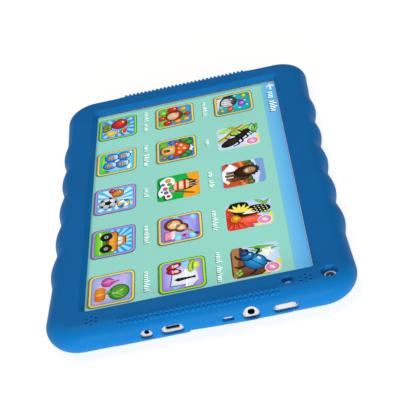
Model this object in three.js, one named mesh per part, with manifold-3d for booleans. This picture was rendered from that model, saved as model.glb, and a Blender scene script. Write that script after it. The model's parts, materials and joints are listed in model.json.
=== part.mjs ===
// A nine-inch children's tablet in a one-piece silicone bumper case, lying on its back.
// Millimetres. X runs along the screen's long side, Y towards the top of the screen, and Z up out of the
// glass. The origin is under the middle of the case, on the surface that it lies on.
import * as THREE from "three";
import { mergeVertices } from "three/addons/utils/BufferGeometryUtils.js";
import Module from "manifold-3d";

const wasm = await Module();
wasm.setup();

// ---------------------------------------------------------------- driving dimensions

const GAP = 0.3; // clearance between a piece and its neighbour
const SCREEN = { length: 196.6, width: 115.2 }; // lit area, 1024 x 600 at 0.192 mm
const TABLET = { length: 233, width: 143, corner: 14, bottom: 3.3, top: 12.6, wall: 1.5, roll: 1.3 };
const CASE = { length: 238.4, waist: 153.6, bow: 2.1, corner: 19, height: 15.5, edge: 8, belly: 8 };
const WAVE = { count: 5, pitch: 29, depth: 2, softness: 0.35 };
const WINDOW = { margin: 0.5, chamfer: 2.7, land: 0.4, corner: 1.5 };
const GRIP = { count: 31, pitch: 2.6, rows: [77, 60], height: 0.9, radius: 0.95 };
const GLASS = { length: 205.4, width: 123.4, thickness: 1.1 };
const LCD = { length: 203.2, width: 123, top: 10.8, thickness: 1.1 };
const TRAY = { length: 205, width: 124.8, bottom: 8.4, skin: 0.4, wall: 0.6 };
const BOARD = { x0: 62, x1: 113.4, y0: -40, y1: 50, bottom: 5.5, top: 6.3 };

const END_X = TABLET.length / 2; // the outer face that carries the sockets and keys
const WALL_X = END_X - TABLET.wall; // that wall's inner face
const FLOOR_Z = TABLET.bottom + TABLET.wall;
const BEZEL_Z = 11; // underside of the front bezel's plate
const PORT_Z = 7.35; // height of the socket centres

// What opens on the end wall, by its place along Y: the hole in the case, then the hole in the housing.
const PORTS = {
  dc: { y: -27.4, case: [6.4, 5.6], housing: [2.6, 2.6] },
  usb: { y: -14.4, case: [11.2, 5.6], housing: [7.4, 2.2] },
  power: { y: 13.1, case: [5.8, 2.6], housing: [5.2, 2.1] },
  headphone: { y: 24.5, case: [8.5, 8.5], housing: [3.7, 3.7] },
  volume: { y: 41.4, case: [11.8, 4.8], housing: [11, 3.8] },
};
// Round things behind the case. A hole and a mouth are the radii of the case's opening, inside and at its face.
const CAMERA = { x: 107.2, y: 65.3, barrel: 1.85, hole: 2.6, mouth: 4.4 };
const LED = { x: 107.5, y: 44.5, pipe: 0.9, hole: 1.4, mouth: 3.1 };
const SPEAKER = { x: 109.2, y: 53.5, pitch: 2.8, hole: 0.5 };
const REAR_CAMERA = { x: 92, y: 60, hole: 4.6, mouth: 6.5 };
const SCREWS = [[-109, 64.5], [-109, -64.5], [0, 67], [0, -67], [99, -67], [80, 67]];
const BOARD_SCREWS = [[66, -35], [66, 45], [98, 47]];

// ---------------------------------------------------------------- materials

const paint = (color, roughness, metalness = 0) =>
  new THREE.MeshStandardMaterial({ color, roughness, metalness });
const SILICONE = paint(0x1273d0, 0.5);
const WHITE = paint(0xe9e6ea, 0.4);
const CLEAR = paint(0xf2f6f8, 0.06);
const DISPLAY = paint(0x9cdccb, 0.2);
const ACRYLIC = paint(0xf4f6f4, 0.2);
const STEEL = paint(0xb4b8bc, 0.35, 1);
const BLACK = paint(0x17181a, 0.45);
const POUCH = paint(0xc9ccd0, 0.38, 0.6);
const LAMINATE = paint(0x17503a, 0.5);
const AMBER = paint(0xb8742a, 0.45);
const RED = paint(0xb4201c, 0.5);
const TAPE = paint(0x26282c, 0.8);

// ---------------------------------------------------------------- solids

// A closed three.js geometry as a solid that can be joined and cut.
function solid(geometry) {
  const bare = geometry.clone();
  bare.deleteAttribute("normal");
  bare.deleteAttribute("uv");
  const merged = mergeVertices(bare, 1e-4);
  const mesh = new wasm.Mesh({
    numProp: 3,
    vertProperties: merged.attributes.position.array,
    triVerts: new Uint32Array(merged.index.array),
  });
  return new wasm.Manifold(mesh);
}

function geometryOf(shape) {
  const mesh = shape.getMesh();
  const geometry = new THREE.BufferGeometry();
  geometry.setAttribute("position", new THREE.BufferAttribute(mesh.vertProperties, 3));
  geometry.setIndex(new THREE.BufferAttribute(mesh.triVerts, 1));
  geometry.computeVertexNormals();
  return geometry;
}

// A box between two corners.
function block([x0, y0, z0], [x1, y1, z1]) {
  const box = new THREE.BoxGeometry(x1 - x0, y1 - y0, z1 - z0);
  return solid(box.translate((x0 + x1) / 2, (y0 + y1) / 2, (z0 + z1) / 2));
}

function roundRect(length, width, radius) {
  const x = length / 2 - radius;
  const y = width / 2 - radius;
  const shape = new THREE.Shape();
  shape.absarc(x, -y, radius, -Math.PI / 2, 0);
  shape.absarc(x, y, radius, 0, Math.PI / 2);
  shape.absarc(-x, y, radius, Math.PI / 2, Math.PI);
  shape.absarc(-x, -y, radius, Math.PI, Math.PI * 1.5);
  return shape;
}

// A round-cornered plate between two heights.
function plate(length, width, radius, z0, z1, curveSegments = 3) {
  const options = { depth: z1 - z0, bevelEnabled: false, curveSegments };
  const shape = roundRect(length, width, radius);
  return solid(new THREE.ExtrudeGeometry(shape, options).translate(0, 0, z0));
}

// An upright cone or cylinder, round at the middle of its foot.
function post(x, y, z0, z1, foot, head = foot, sides = 12) {
  const cone = new THREE.CylinderGeometry(head, foot, z1 - z0, sides).rotateX(Math.PI / 2);
  return solid(cone.translate(x, y, (z0 + z1) / 2));
}

// A slot with round ends, [width, height] across, that runs along X through the end wall.
function slot(y, z, [width, height], x0, x1, curveSegments = 3) {
  const options = { depth: x1 - x0, bevelEnabled: false, curveSegments };
  const shape = roundRect(width, height, Math.min(width, height) / 2 - 0.01);
  const alongX = new THREE.Matrix4().makeBasis(
    new THREE.Vector3(0, 1, 0),
    new THREE.Vector3(0, 0, 1),
    new THREE.Vector3(1, 0, 0),
  );
  const geometry = new THREE.ExtrudeGeometry(shape, options).applyMatrix4(alongX);
  return solid(geometry.translate(x0, y, z));
}

// A skin over closed rings of equal length, lowest ring first, each counter-clockwise from above.
function loft(rings) {
  const count = rings[0].length;
  const positions = rings.flat().flatMap((p) => [p.x, p.y, p.z]);
  const index = [];
  for (let level = 0; level + 1 < rings.length; level++)
    for (let i = 0; i < count; i++) {
      const [a, b] = [level * count + i, level * count + ((i + 1) % count)];
      index.push(a, b, b + count, a, b + count, a + count);
    }
  const top = (rings.length - 1) * count;
  const cap = (ring) => THREE.ShapeUtils.triangulateShape(ring.map((p) => new THREE.Vector2(p.x, p.y)), []);
  for (const [a, b, c] of cap(rings[0])) index.push(c, b, a);
  for (const [a, b, c] of cap(rings.at(-1))) index.push(top + a, top + b, top + c);
  const geometry = new THREE.BufferGeometry();
  geometry.setAttribute("position", new THREE.Float32BufferAttribute(positions, 3));
  geometry.setIndex(index);
  return solid(geometry);
}

// A round-cornered skin from [height, inset] steps, such as a shell with a rolled edge.
function tapered(length, width, radius, steps, arcPoints = 3) {
  return loft(
    steps.map(([z, inset]) =>
      roundRect(length - 2 * inset, width - 2 * inset, Math.max(radius - inset, 0.5))
        .getPoints(arcPoints)
        .slice(0, -1)
        .map((p) => new THREE.Vector3(p.x, p.y, z)),
    ),
  );
}

// A round wire through hand-laid points.
function wire(points, radius, steps) {
  const path = new THREE.CatmullRomCurve3(points.map((p) => new THREE.Vector3(...p)));
  const section = new THREE.Shape().absarc(0, 0, radius, 0, Math.PI * 2);
  return solid(new THREE.ExtrudeGeometry(section, { steps, extrudePath: path, curveSegments: 4 }));
}

// A flat flex cable: a bent strip, drawn as [along, height] points, of a given width and thickness.
function flex(points, width, thickness) {
  const under = points.map(([s, z]) => new THREE.Vector2(s, z));
  const over = points.map(([s, z]) => new THREE.Vector2(s, z + thickness)).reverse();
  const shape = new THREE.Shape([...under, ...over]);
  return new THREE.ExtrudeGeometry(shape, { depth: width, bevelEnabled: false });
}
// Lays a flex cable with its length along X, or along Y, starting at the given edge of its width.
const flexAlongX = (points, y, width, thickness) =>
  solid(flex(points, width, thickness).rotateX(Math.PI / 2).translate(0, y + width, 0));
const flexAlongY = (points, x, width, thickness) =>
  solid(flex(points, width, thickness).rotateX(Math.PI / 2).rotateZ(Math.PI / 2).translate(x, 0, 0));

const tablet = new THREE.Group();
tablet.name = "kids_tablet";

function add(name, shape, material) {
  const mesh = new THREE.Mesh(geometryOf(shape), material);
  mesh.name = name;
  tablet.add(mesh);
}

const cutAll = (body, cuts) => cuts.reduce((left, cut) => left.subtract(cut), body);
const joinAll = (body, more) => more.reduce((left, piece) => left.add(piece), body);

// Places of a seven-hole speaker rose on either side of the screen.
function roseHoles(side) {
  const ring = [...Array(6).keys()].map((i) => (i * Math.PI) / 3);
  const around = ring.map((a) => [Math.cos(a), Math.sin(a)]);
  const { x, y, pitch } = SPEAKER;
  return [[0, 0], ...around].map(([u, v]) => [x + u * pitch, side * y + v * pitch]);
}

// ---------------------------------------------------------------- silicone case

// Plan outline of the case as points with their outward direction and their share of the finger wave.
function caseOutline() {
  const endX = CASE.length / 2;
  const sideY = (x) => CASE.waist / 2 + CASE.bow * (x / 100) ** 2;
  const cornerX = endX - CASE.corner;
  const cornerY = sideY(cornerX) - CASE.corner;
  const waveEnd = (WAVE.count * WAVE.pitch) / 2;
  const bump = (x) => {
    if (Math.abs(x) >= waveEnd) return 0;
    const swing = Math.sin((Math.PI * (x + waveEnd)) / WAVE.pitch);
    const soft = WAVE.softness;
    return (Math.hypot(swing, soft) - soft) / (Math.hypot(1, soft) - soft);
  };
  const perWave = 8;
  const wavePoints = WAVE.count * perWave;
  const along = [...Array(wavePoints + 1).keys()].map((i) => -waveEnd + (i * WAVE.pitch) / perWave);
  const sideXs = [-(waveEnd + cornerX) / 2, ...along, (waveEnd + cornerX) / 2];
  const side = (sign) =>
    (sign > 0 ? [...sideXs].reverse() : sideXs).map((x) => ({
      x, y: sign * sideY(x), nx: 0, ny: sign, wave: bump(x),
    }));
  const arcSteps = 7;
  const corner = (sx, sy, from) =>
    [...Array(arcSteps + 1).keys()].map((i) => {
      const a = from + ((i / arcSteps) * Math.PI) / 2;
      const [nx, ny] = [Math.cos(a), Math.sin(a)];
      return { x: sx * cornerX + CASE.corner * nx, y: sy * cornerY + CASE.corner * ny, nx, ny, wave: 0 };
    });
  return [
    ...corner(1, 1, 0),
    ...side(1),
    ...corner(-1, 1, Math.PI / 2),
    ...corner(-1, -1, Math.PI),
    ...side(-1),
    ...corner(1, -1, Math.PI * 1.5),
  ];
}

// Bullnose edge of the case: angles from its widest line down to the underside and up to the face.
function caseRings() {
  const outline = caseOutline();
  const ring = (inset, z, share) =>
    outline.map(({ x, y, nx, ny, wave }) => {
      const out = wave * WAVE.depth * share - inset;
      return new THREE.Vector3(x + nx * out, y + ny * out, z);
    });
  const quarter = [90, 67.5, 45, 22.5, 0].map(THREE.MathUtils.degToRad);
  const waveShare = (angle) => 0.3 + 0.7 * Math.cos(angle);
  const lower = quarter.map((a) =>
    ring(CASE.edge * (1 - Math.cos(a)), CASE.belly * (1 - Math.sin(a)), waveShare(a)),
  );
  const upper = quarter.slice(0, -1).reverse().map((a) => {
    const z = CASE.belly + (CASE.height - CASE.belly) * Math.sin(a);
    return ring(CASE.edge * (1 - Math.cos(a)), z, waveShare(a));
  });
  return [...lower, ...upper];
}

// Small square studs in two rows, square to the rolled edge, on one end of the case.
function gripStuds(sign) {
  const studs = [];
  for (const row of GRIP.rows)
    for (let i = 0; i < GRIP.count; i++) {
      const angle = THREE.MathUtils.degToRad(row);
      const sunk = 0.5;
      const height = GRIP.height + sunk;
      const stud = new THREE.CylinderGeometry(GRIP.radius * 0.5, GRIP.radius, height, 4);
      stud.translate(0, GRIP.height - height / 2, 0).rotateX(Math.PI / 2);
      stud.rotateY(Math.PI / 2 - angle);
      const x = CASE.length / 2 - CASE.edge * (1 - Math.cos(angle));
      const z = CASE.belly + (CASE.height - CASE.belly) * Math.sin(angle);
      stud.translate(x, (i - (GRIP.count - 1) / 2) * GRIP.pitch, z);
      if (sign < 0) stud.rotateZ(Math.PI);
      studs.push(solid(stud));
    }
  return studs;
}

// A shallow notch under one end, where a finger lifts the tablet off a table.
function liftNotch(sign) {
  const [from, rise, fall, to, depth, reach] = [-10.5, -7.5, 12, 19, 1.7, 20];
  const outline = [[from, -1], [from, 0], [rise, depth], [fall, depth], [to, 0], [to, -1]];
  const shape = new THREE.Shape(outline.map(([y, z]) => new THREE.Vector2(y, z)));
  const notch = new THREE.ExtrudeGeometry(shape, { depth: reach, bevelEnabled: false });
  notch.rotateX(Math.PI / 2).rotateZ(Math.PI / 2).translate(CASE.length / 2 - reach + 1, 0, 0);
  if (sign < 0) notch.rotateZ(Math.PI);
  return solid(notch);
}

// That notch's hollow up the end wall, highest beside the middle socket and fading along Y.
function liftHollow(sign) {
  const [from, to, lowering] = [-7.4, 24, 0.06];
  const arch = [[113.5, 1.7], [115.5, 2.3], [117, 3.4], [118.4, 4.9], [119.6, 6.2], [121, 7.6]];
  const section = [[113.5, -3], ...arch, [121, -3]];
  const shape = new THREE.Shape(section.map(([x, z]) => new THREE.Vector2(x, z)));
  const hollow = new THREE.ExtrudeGeometry(shape, { depth: to - from, bevelEnabled: false });
  hollow.rotateX(Math.PI / 2).translate(0, to - from, 0).rotateX(-Math.atan(lowering)).translate(0, from, 0);
  if (sign < 0) hollow.rotateZ(Math.PI);
  return solid(hollow);
}

// The tablet's outer skin as [height, inset] steps, grown on every side by a clearance.
const tabletSteps = (grow, top) => [
  [TABLET.bottom - grow, 2.4 - grow],
  [TABLET.bottom + 0.4 - grow / 2, 1 - grow],
  [TABLET.bottom + 1.1, 0.3 - grow],
  [TABLET.bottom + 1.9, -grow],
  [top, -grow],
];

function siliconeCase() {
  const lip = TABLET.top + GAP;
  const cavity = tapered(TABLET.length, TABLET.width, TABLET.corner, [
    ...tabletSteps(GAP, lip - TABLET.roll),
    [lip, TABLET.roll - 2 * GAP],
  ]);
  const [length, width] = [SCREEN.length + 2 * WINDOW.margin, SCREEN.width + 2 * WINDOW.margin];
  const window = tapered(length, width, WINDOW.corner, [
    [lip - 1, 0],
    [lip + WINDOW.land, 0],
    [CASE.height + 0.1, -WINDOW.chamfer],
  ]);
  const above = CASE.height + 0.2;
  const face = [
    post(CAMERA.x, CAMERA.y, TABLET.top - 0.5, above, CAMERA.hole, CAMERA.mouth),
    post(LED.x, LED.y, TABLET.top - 0.5, above, LED.hole, LED.mouth),
    ...[1, -1].flatMap(roseHoles).map(([x, y]) => post(x, y, lip - 1, above, SPEAKER.hole, SPEAKER.hole, 6)),
  ];
  const outlets = Object.values(PORTS).map((p) => slot(p.y, PORT_Z, p.case, WALL_X, CASE.length / 2 + 2));
  const back = [
    post(REAR_CAMERA.x, REAR_CAMERA.y, -0.1, TABLET.bottom, REAR_CAMERA.mouth, REAR_CAMERA.hole),
    liftNotch(1),
    liftNotch(-1),
    liftHollow(1),
    liftHollow(-1),
  ];
  const body = joinAll(loft(caseRings()), [...gripStuds(1), ...gripStuds(-1)]);
  return cutAll(body, [cavity, window, ...face, ...outlets, ...back]);
}

add("silicone_case", siliconeCase(), SILICONE);

// ---------------------------------------------------------------- tablet shells

const HEAD = { radius: 1.9, height: 0.9 }; // housing screw head, sunk into the back

function rearHousing() {
  const rim = BEZEL_Z - 0.1;
  const outside = tapered(TABLET.length, TABLET.width, TABLET.corner, tabletSteps(0, rim));
  const inside = plate(
    TABLET.length - 2 * TABLET.wall, TABLET.width - 2 * TABLET.wall,
    TABLET.corner - TABLET.wall, FLOOR_Z, rim + 1,
  );
  const shell = outside.subtract(inside);
  const bosses = SCREWS.map(([x, y]) => post(x, y, FLOOR_Z - 0.5, 8, 2.6));
  const boardPosts = BOARD_SCREWS.map(([x, y]) => post(x, y, FLOOR_Z - 0.5, BOARD.bottom - 0.05, 1.8));
  const screwWays = SCREWS.flatMap(([x, y]) => [
    post(x, y, TABLET.bottom - 1, TABLET.bottom + HEAD.height + GAP, HEAD.radius + GAP),
    post(x, y, TABLET.bottom, 9, 1.1),
  ]);
  const pilots = BOARD_SCREWS.map(([x, y]) => post(x, y, FLOOR_Z - 0.2, 7, 0.9, 0.9, 8));
  const outlets = Object.values(PORTS).map((p) => slot(p.y, PORT_Z, p.housing, WALL_X - 1, END_X + 1));
  const lens = post(REAR_CAMERA.x, REAR_CAMERA.y, TABLET.bottom - 1, FLOOR_Z + 1, 3.2);
  return cutAll(joinAll(shell, [...bosses, ...boardPosts]), [...screwWays, ...pilots, ...outlets, lens]);
}

function frontBezel() {
  const outer = tapered(TABLET.length, TABLET.width, TABLET.corner, [
    [BEZEL_Z, 0],
    [TABLET.top - TABLET.roll, 0],
    [TABLET.top - TABLET.roll / 3, TABLET.roll / 3],
    [TABLET.top, TABLET.roll],
  ]);
  const seat = plate(GLASS.length + 2 * GAP, GLASS.width + 2 * GAP, 3, TABLET.top - GLASS.thickness - 0.1, 14);
  const view = plate(SCREEN.length + 3, SCREEN.width + 3, 1.5, BEZEL_Z - 1, 14, 2);
  const skirtOut = TABLET.wall + GAP;
  const skirtIn = skirtOut + 1;
  const skirt = plate(
    TABLET.length - 2 * skirtOut, TABLET.width - 2 * skirtOut, TABLET.corner - skirtOut, 9, BEZEL_Z + 0.2,
  ).subtract(plate(
    TABLET.length - 2 * skirtIn, TABLET.width - 2 * skirtIn, TABLET.corner - skirtIn, 8, BEZEL_Z,
  ));
  const [first, last] = [PORTS.dc, PORTS.volume];
  const socketRoom = block([WALL_X - 4, first.y - 8, 8], [WALL_X + 1, last.y + 9, BEZEL_Z]);
  const cameraRoom = block([CAMERA.x - 3.2, CAMERA.y - 3.2, 8], [CAMERA.x + 3.2, CAMERA.y + 3.2, BEZEL_Z]);
  const bosses = SCREWS.map(([x, y]) => post(x, y, 8.3, BEZEL_Z + 0.2, 2.3));
  const holes = [
    ...SCREWS.map(([x, y]) => post(x, y, 8, 10.2, 1.1)),
    ...[1, -1].flatMap(roseHoles).map(([x, y]) => post(x, y, 10, 14, SPEAKER.hole, SPEAKER.hole, 6)),
    post(CAMERA.x, CAMERA.y, 10, 14, CAMERA.barrel + 0.35),
    post(LED.x, LED.y, 10, 14, LED.pipe + 0.3, LED.pipe + 0.3, 10),
    block([71, -66.5, BEZEL_Z - 1], [85, -58, BEZEL_Z + 0.45]),
  ];
  return cutAll(joinAll(outer, [cutAll(skirt, [socketRoom, cameraRoom]), ...bosses]), [seat, view, ...holes]);
}

add("rear_housing", rearHousing(), WHITE);
add("front_bezel", frontBezel(), WHITE);

// ---------------------------------------------------------------- display

function backlightTray() {
  const [l, w] = [TRAY.length, TRAY.width];
  const inside = plate(l - 2 * TRAY.wall, w - 2 * TRAY.wall, 0.6, TRAY.bottom + TRAY.skin, 12, 1);
  return plate(l, w, 1, TRAY.bottom, LCD.top, 1).subtract(inside);
}

const glassBottom = TABLET.top - GLASS.thickness;
const guideTop = LCD.top - LCD.thickness - 0.1;
add("touch_glass", plate(GLASS.length, GLASS.width, 2.7, glassBottom, TABLET.top), CLEAR);
add("lcd_panel", plate(LCD.length, LCD.width, 0.5, LCD.top - LCD.thickness, LCD.top, 1), DISPLAY);
add("light_guide", plate(LCD.length, LCD.width, 0.5, TRAY.bottom + TRAY.skin + 0.1, guideTop, 1), ACRYLIC);
add("backlight_tray", backlightTray(), STEEL);

// ---------------------------------------------------------------- battery

const CELL = { x0: -62, x1: 48, half: 45, bottom: 5.1, top: 8.1 };
const LEADS = { red: 5, black: -5 }; // where each battery lead leaves its board, along Y

function battery() {
  const [length, middle] = [CELL.x1 - CELL.x0, (CELL.x0 + CELL.x1) / 2];
  const pouch = tapered(length, 2 * CELL.half, 4, [
    [CELL.bottom, 0.8],
    [CELL.bottom + 0.5, 0],
    [CELL.top - 0.5, 0],
    [CELL.top, 0.8],
  ]);
  return pouch.translate([middle, 0, 0]);
}

function batteryLead(y) {
  const end = Math.sign(y) * 1.2;
  const middle = (y + end) / 2;
  return wire([[53.9, y, 5.6], [56, y, 5.6], [58.5, middle, 6.4], [61, end, 7], [62.6, end, 7]], 0.45, 10);
}

add("battery_pack", battery(), POUCH);
add("battery_tape", block([-50, -30, FLOOR_Z + 0.02], [36, 30, CELL.bottom - 0.02]), TAPE);
add("battery_board", block([48.4, -18, 5.1], [53.5, 18, 6.4]), LAMINATE);
add("battery_lead_red", batteryLead(LEADS.red), RED);
add("battery_lead_black", batteryLead(LEADS.black), BLACK);

// ---------------------------------------------------------------- main board

const ON_BOARD = BOARD.top + 0.05; // a part soldered to the top of the board stands here

function mainBoard() {
  const sheet = block([BOARD.x0, BOARD.y0, BOARD.bottom], [BOARD.x1, BOARD.y1, BOARD.top]);
  const notch = (port, half) => block([100, port.y - half, 5], [BOARD.x1 + 1, port.y + half, 7]);
  const screwHoles = BOARD_SCREWS.map(([x, y]) => post(x, y, 5, 7, 1.2, 1.2, 10));
  return cutAll(sheet, [notch(PORTS.headphone, 3.7), notch(PORTS.dc, 3.3), ...screwHoles]);
}

// A square chip soldered to the board, by its middle, size and height.
const chip = (x, y, length, width, height) =>
  block([x - length / 2, y - width / 2, ON_BOARD], [x + length / 2, y + width / 2, ON_BOARD + height]);

add("main_board", mainBoard(), LAMINATE);
add("processor_shield", chip(82, 14, 26, 26, 1.5), STEEL);
add("flash_chip", chip(78, -14, 12, 18, 1.1), BLACK);
add("power_chip", chip(94, -10, 7, 7, 0.9), BLACK);
add("wifi_module", chip(75, -31, 12, 13, 1.6), STEEL);
add("battery_connector", chip(65, 0, 4, 8, 1.5), WHITE);
add("display_connector", chip(66.5, 32, 4, 22, 0.9), ACRYLIC);
add("touch_connector", chip(88, -34, 12, 3.4, 0.9), ACRYLIC);
add("microphone", chip(108.5, 2, 3.8, 3, 1.1), STEEL);
add("charge_led", chip(LED.x, LED.y, 1.6, 1, 0.7), ACRYLIC);
add("led_light_pipe", post(LED.x, LED.y, 7.35, TABLET.top - 0.05, LED.pipe, LED.pipe, 10), ACRYLIC);

// ---------------------------------------------------------------- sockets on the end wall

const SOCKET_FACE = WALL_X - GAP;

function headphoneJack() {
  const { y } = PORTS.headphone;
  const body = block([102.8, y - 3.2, PORT_Z - 2.4], [SOCKET_FACE, y + 3.2, PORT_Z + 2.5]);
  return body.subtract(slot(y, PORT_Z, [3.6, 3.6], 103.3, END_X));
}

function dcPowerJack() {
  const { y } = PORTS.dc;
  const body = block([103.5, y - 2.8, PORT_Z - 2.1], [SOCKET_FACE, y + 2.8, PORT_Z + 2.1]);
  const pin = slot(y, PORT_Z, [0.8, 0.8], 104, SOCKET_FACE - 1, 3);
  return body.subtract(slot(y, PORT_Z, [2.6, 2.6], 104.5, END_X)).add(pin);
}

function microUsbSocket() {
  const { y } = PORTS.usb;
  const [depth, middle] = [5, ON_BOARD + 1.3];
  const shell = slot(y, middle, [7.9, 2.6], SOCKET_FACE - depth, SOCKET_FACE, 3);
  const mouth = slot(y, middle, [7.1, 1.9], SOCKET_FACE - depth + 0.6, END_X, 3);
  const tongue = block([SOCKET_FACE - depth + 0.3, y - 1.9, middle + 0.1], [SOCKET_FACE - 1, y + 1.9, middle + 0.6]);
  return shell.subtract(mouth).add(tongue);
}

add("headphone_jack", headphoneJack(), BLACK);
add("dc_power_jack", dcPowerJack(), BLACK);
add("micro_usb_socket", microUsbSocket(), STEEL);

// ---------------------------------------------------------------- keys and the switches behind them

const KEY = { proud: 0.8, flangeFront: WALL_X - GAP, flangeBack: WALL_X - 1.1 };
const SWITCH = { back: 109.6, front: 112.8, half: 2.2, height: 2.6, bore: 1.5 };
const STEM = { half: 0.6, front: 113.5, back: 111.7 };

function powerKey() {
  const { y } = PORTS.power;
  const cap = slot(y, PORT_Z, [4.6, 1.5], KEY.flangeBack, END_X + KEY.proud);
  const flange = block([KEY.flangeBack, y - 3.3, PORT_Z - 1.6], [KEY.flangeFront, y + 3.3, PORT_Z + 1.6]);
  return cap.add(flange);
}

function volumeRocker() {
  const { y } = PORTS.volume;
  const cap = slot(y, PORT_Z, [10.2, 3], KEY.flangeBack, END_X + KEY.proud);
  const flange = block([KEY.flangeBack, y - 6.1, PORT_Z - 2.2], [KEY.flangeFront, y + 6.1, PORT_Z + 2.2]);
  const markDepth = 0.3;
  const mark = (side) => slot(y + side * 4, PORT_Z, [0.9, 0.9], END_X + KEY.proud - markDepth, END_X + 2, 3);
  return cutAll(cap.add(flange), [mark(1), mark(-1)]);
}

// A side-push switch: a square body on the board with a bore that its plunger slides in.
function sideSwitch(y) {
  const top = ON_BOARD + SWITCH.height;
  const body = block([SWITCH.back, y - SWITCH.half, ON_BOARD], [SWITCH.front, y + SWITCH.half, top]);
  const half = SWITCH.bore / 2;
  return body.subtract(block([STEM.back - 0.6, y - half, PORT_Z - half], [END_X, y + half, PORT_Z + half]));
}

const plunger = (y) =>
  block([STEM.back, y - STEM.half, PORT_Z - STEM.half], [STEM.front, y + STEM.half, PORT_Z + STEM.half]);

add("power_key", powerKey(), WHITE);
add("volume_rocker", volumeRocker(), WHITE);
for (const [name, y] of [
  ["power", PORTS.power.y],
  ["volume_up", PORTS.volume.y + 4],
  ["volume_down", PORTS.volume.y - 4],
]) {
  add(name + "_switch", sideSwitch(y), STEEL);
  add(name + "_plunger", plunger(y), BLACK);
}

// ---------------------------------------------------------------- sound, cameras and aerial

const speaker = (side) => {
  const [y0, y1] = [side * 48.2, side * 60].sort((a, b) => a - b);
  return block([104.5, y0, 6.7], [113.2, y1, 10.7]);
};
add("speaker_right", speaker(1), BLACK);
add("speaker_left", speaker(-1), BLACK);
const speakerLead = (side, end) =>
  wire([[105.4, side * 47.7, 7.9], [105.2, side * 46, 7.8], [104.4, side * 43.6, 7.2], [103.2, end, 6.85]], 0.4, 8);
add("speaker_lead_right", speakerLead(1, 41), RED);
add("speaker_lead_left", speakerLead(-1, -37.5), RED);

function frontCamera() {
  const half = 2.2;
  const module = block([CAMERA.x - half, CAMERA.y - half, 7], [CAMERA.x + half, CAMERA.y + half, 10.7]);
  return module.add(post(CAMERA.x, CAMERA.y, 10.5, TABLET.top - 0.2, CAMERA.barrel));
}

function rearCamera() {
  const { x, y } = REAR_CAMERA;
  return block([x - 4, y - 4, 5.4], [x + 4, y + 4, 8.2]).add(post(x, y, 4.9, 5.6, 2.6));
}

add("front_camera", frontCamera(), BLACK);
add("rear_camera", rearCamera(), BLACK);
add(
  "rear_camera_window",
  post(REAR_CAMERA.x, REAR_CAMERA.y, TABLET.bottom + 0.2, TABLET.bottom + 1, 2.9),
  CLEAR,
);
add("front_camera_flex", flexAlongY([[66.5, 7.8], [53, 7.4], [48.2, 6.45]], 101.2, 3, 0.2), AMBER);
add("rear_camera_flex", flexAlongY([[55.8, 6.6], [51, 6.6], [47, 6.6]], 89.5, 5, 0.2), AMBER);
add("wifi_antenna", block([28, -69.6, 5.4], [58, -69, 8.6]), AMBER);
add(
  "antenna_lead",
  wire([[72, -38, 7.2], [70, -44, 6.8], [62, -52, 6], [54, -60, 6.2], [50, -66, 6.8], [48, -68.4, 7]], 0.4, 14),
  BLACK,
);
add("display_flex", flexAlongX([[20, 8.14], [58, 8.14], [62, 7.5], [68, 7.5]], 22, 20, 0.2), AMBER);
add("touch_flex", flexAlongY([[-60.5, 11.2], [-65.4, 11.2]], 72, 12, 0.2), AMBER);

// ---------------------------------------------------------------- screws

// A pan-head screw, from the outer face of its head along its shank. It stands on its head unless it is turned over.
function screw([x, y], z, head, shank, turned = false) {
  const profile = [
    [0, 0],
    [head.radius, 0],
    [head.radius, head.height],
    [shank.radius, head.height],
    [shank.radius, shank.length - 0.5],
    [0, shank.length],
  ].map(([r, along]) => new THREE.Vector2(r, along));
  const upright = new THREE.LatheGeometry(profile, 10).rotateX(turned ? -Math.PI / 2 : Math.PI / 2);
  return solid(upright.translate(x, y, z));
}

const HOUSING_SHANK = { radius: 0.8, length: 6.3 };
const BOARD_HEAD = { radius: 1.6, height: 0.8 };
const BOARD_SHANK = { radius: 0.6, length: 2.4 };
SCREWS.forEach((at, i) => add(`housing_screw_${i + 1}`, screw(at, TABLET.bottom, HEAD, HOUSING_SHANK), STEEL));
BOARD_SCREWS.forEach((at, i) =>
  add(`board_screw_${i + 1}`, screw(at, BOARD.top + 0.9, BOARD_HEAD, BOARD_SHANK, true), STEEL),
);

export default tablet;
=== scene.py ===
import json
import math
import random

import bmesh
import bpy
import numpy as np
from mathutils import Matrix, Vector


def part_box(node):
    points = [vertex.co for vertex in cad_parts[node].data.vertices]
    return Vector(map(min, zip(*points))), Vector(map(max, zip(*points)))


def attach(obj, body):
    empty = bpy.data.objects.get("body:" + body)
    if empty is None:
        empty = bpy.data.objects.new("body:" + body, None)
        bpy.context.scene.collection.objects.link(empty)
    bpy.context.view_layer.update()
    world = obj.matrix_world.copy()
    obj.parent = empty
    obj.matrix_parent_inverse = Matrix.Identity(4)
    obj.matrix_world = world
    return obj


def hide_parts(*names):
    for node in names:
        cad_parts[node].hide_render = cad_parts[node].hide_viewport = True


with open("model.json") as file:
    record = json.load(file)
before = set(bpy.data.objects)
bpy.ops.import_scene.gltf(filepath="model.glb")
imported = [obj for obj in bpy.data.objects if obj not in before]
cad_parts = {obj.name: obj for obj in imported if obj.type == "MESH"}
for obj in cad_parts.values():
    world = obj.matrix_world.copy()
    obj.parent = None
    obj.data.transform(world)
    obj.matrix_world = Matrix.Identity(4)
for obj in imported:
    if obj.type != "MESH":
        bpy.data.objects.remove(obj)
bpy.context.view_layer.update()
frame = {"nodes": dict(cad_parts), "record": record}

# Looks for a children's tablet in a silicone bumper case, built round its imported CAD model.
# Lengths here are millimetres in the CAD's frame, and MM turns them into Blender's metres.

MM = 0.001


def box_mm(node):
    """A CAD node's lowest and highest corners in millimetres."""
    low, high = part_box(node)
    return np.array(low) / MM, np.array(high) / MM


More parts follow.
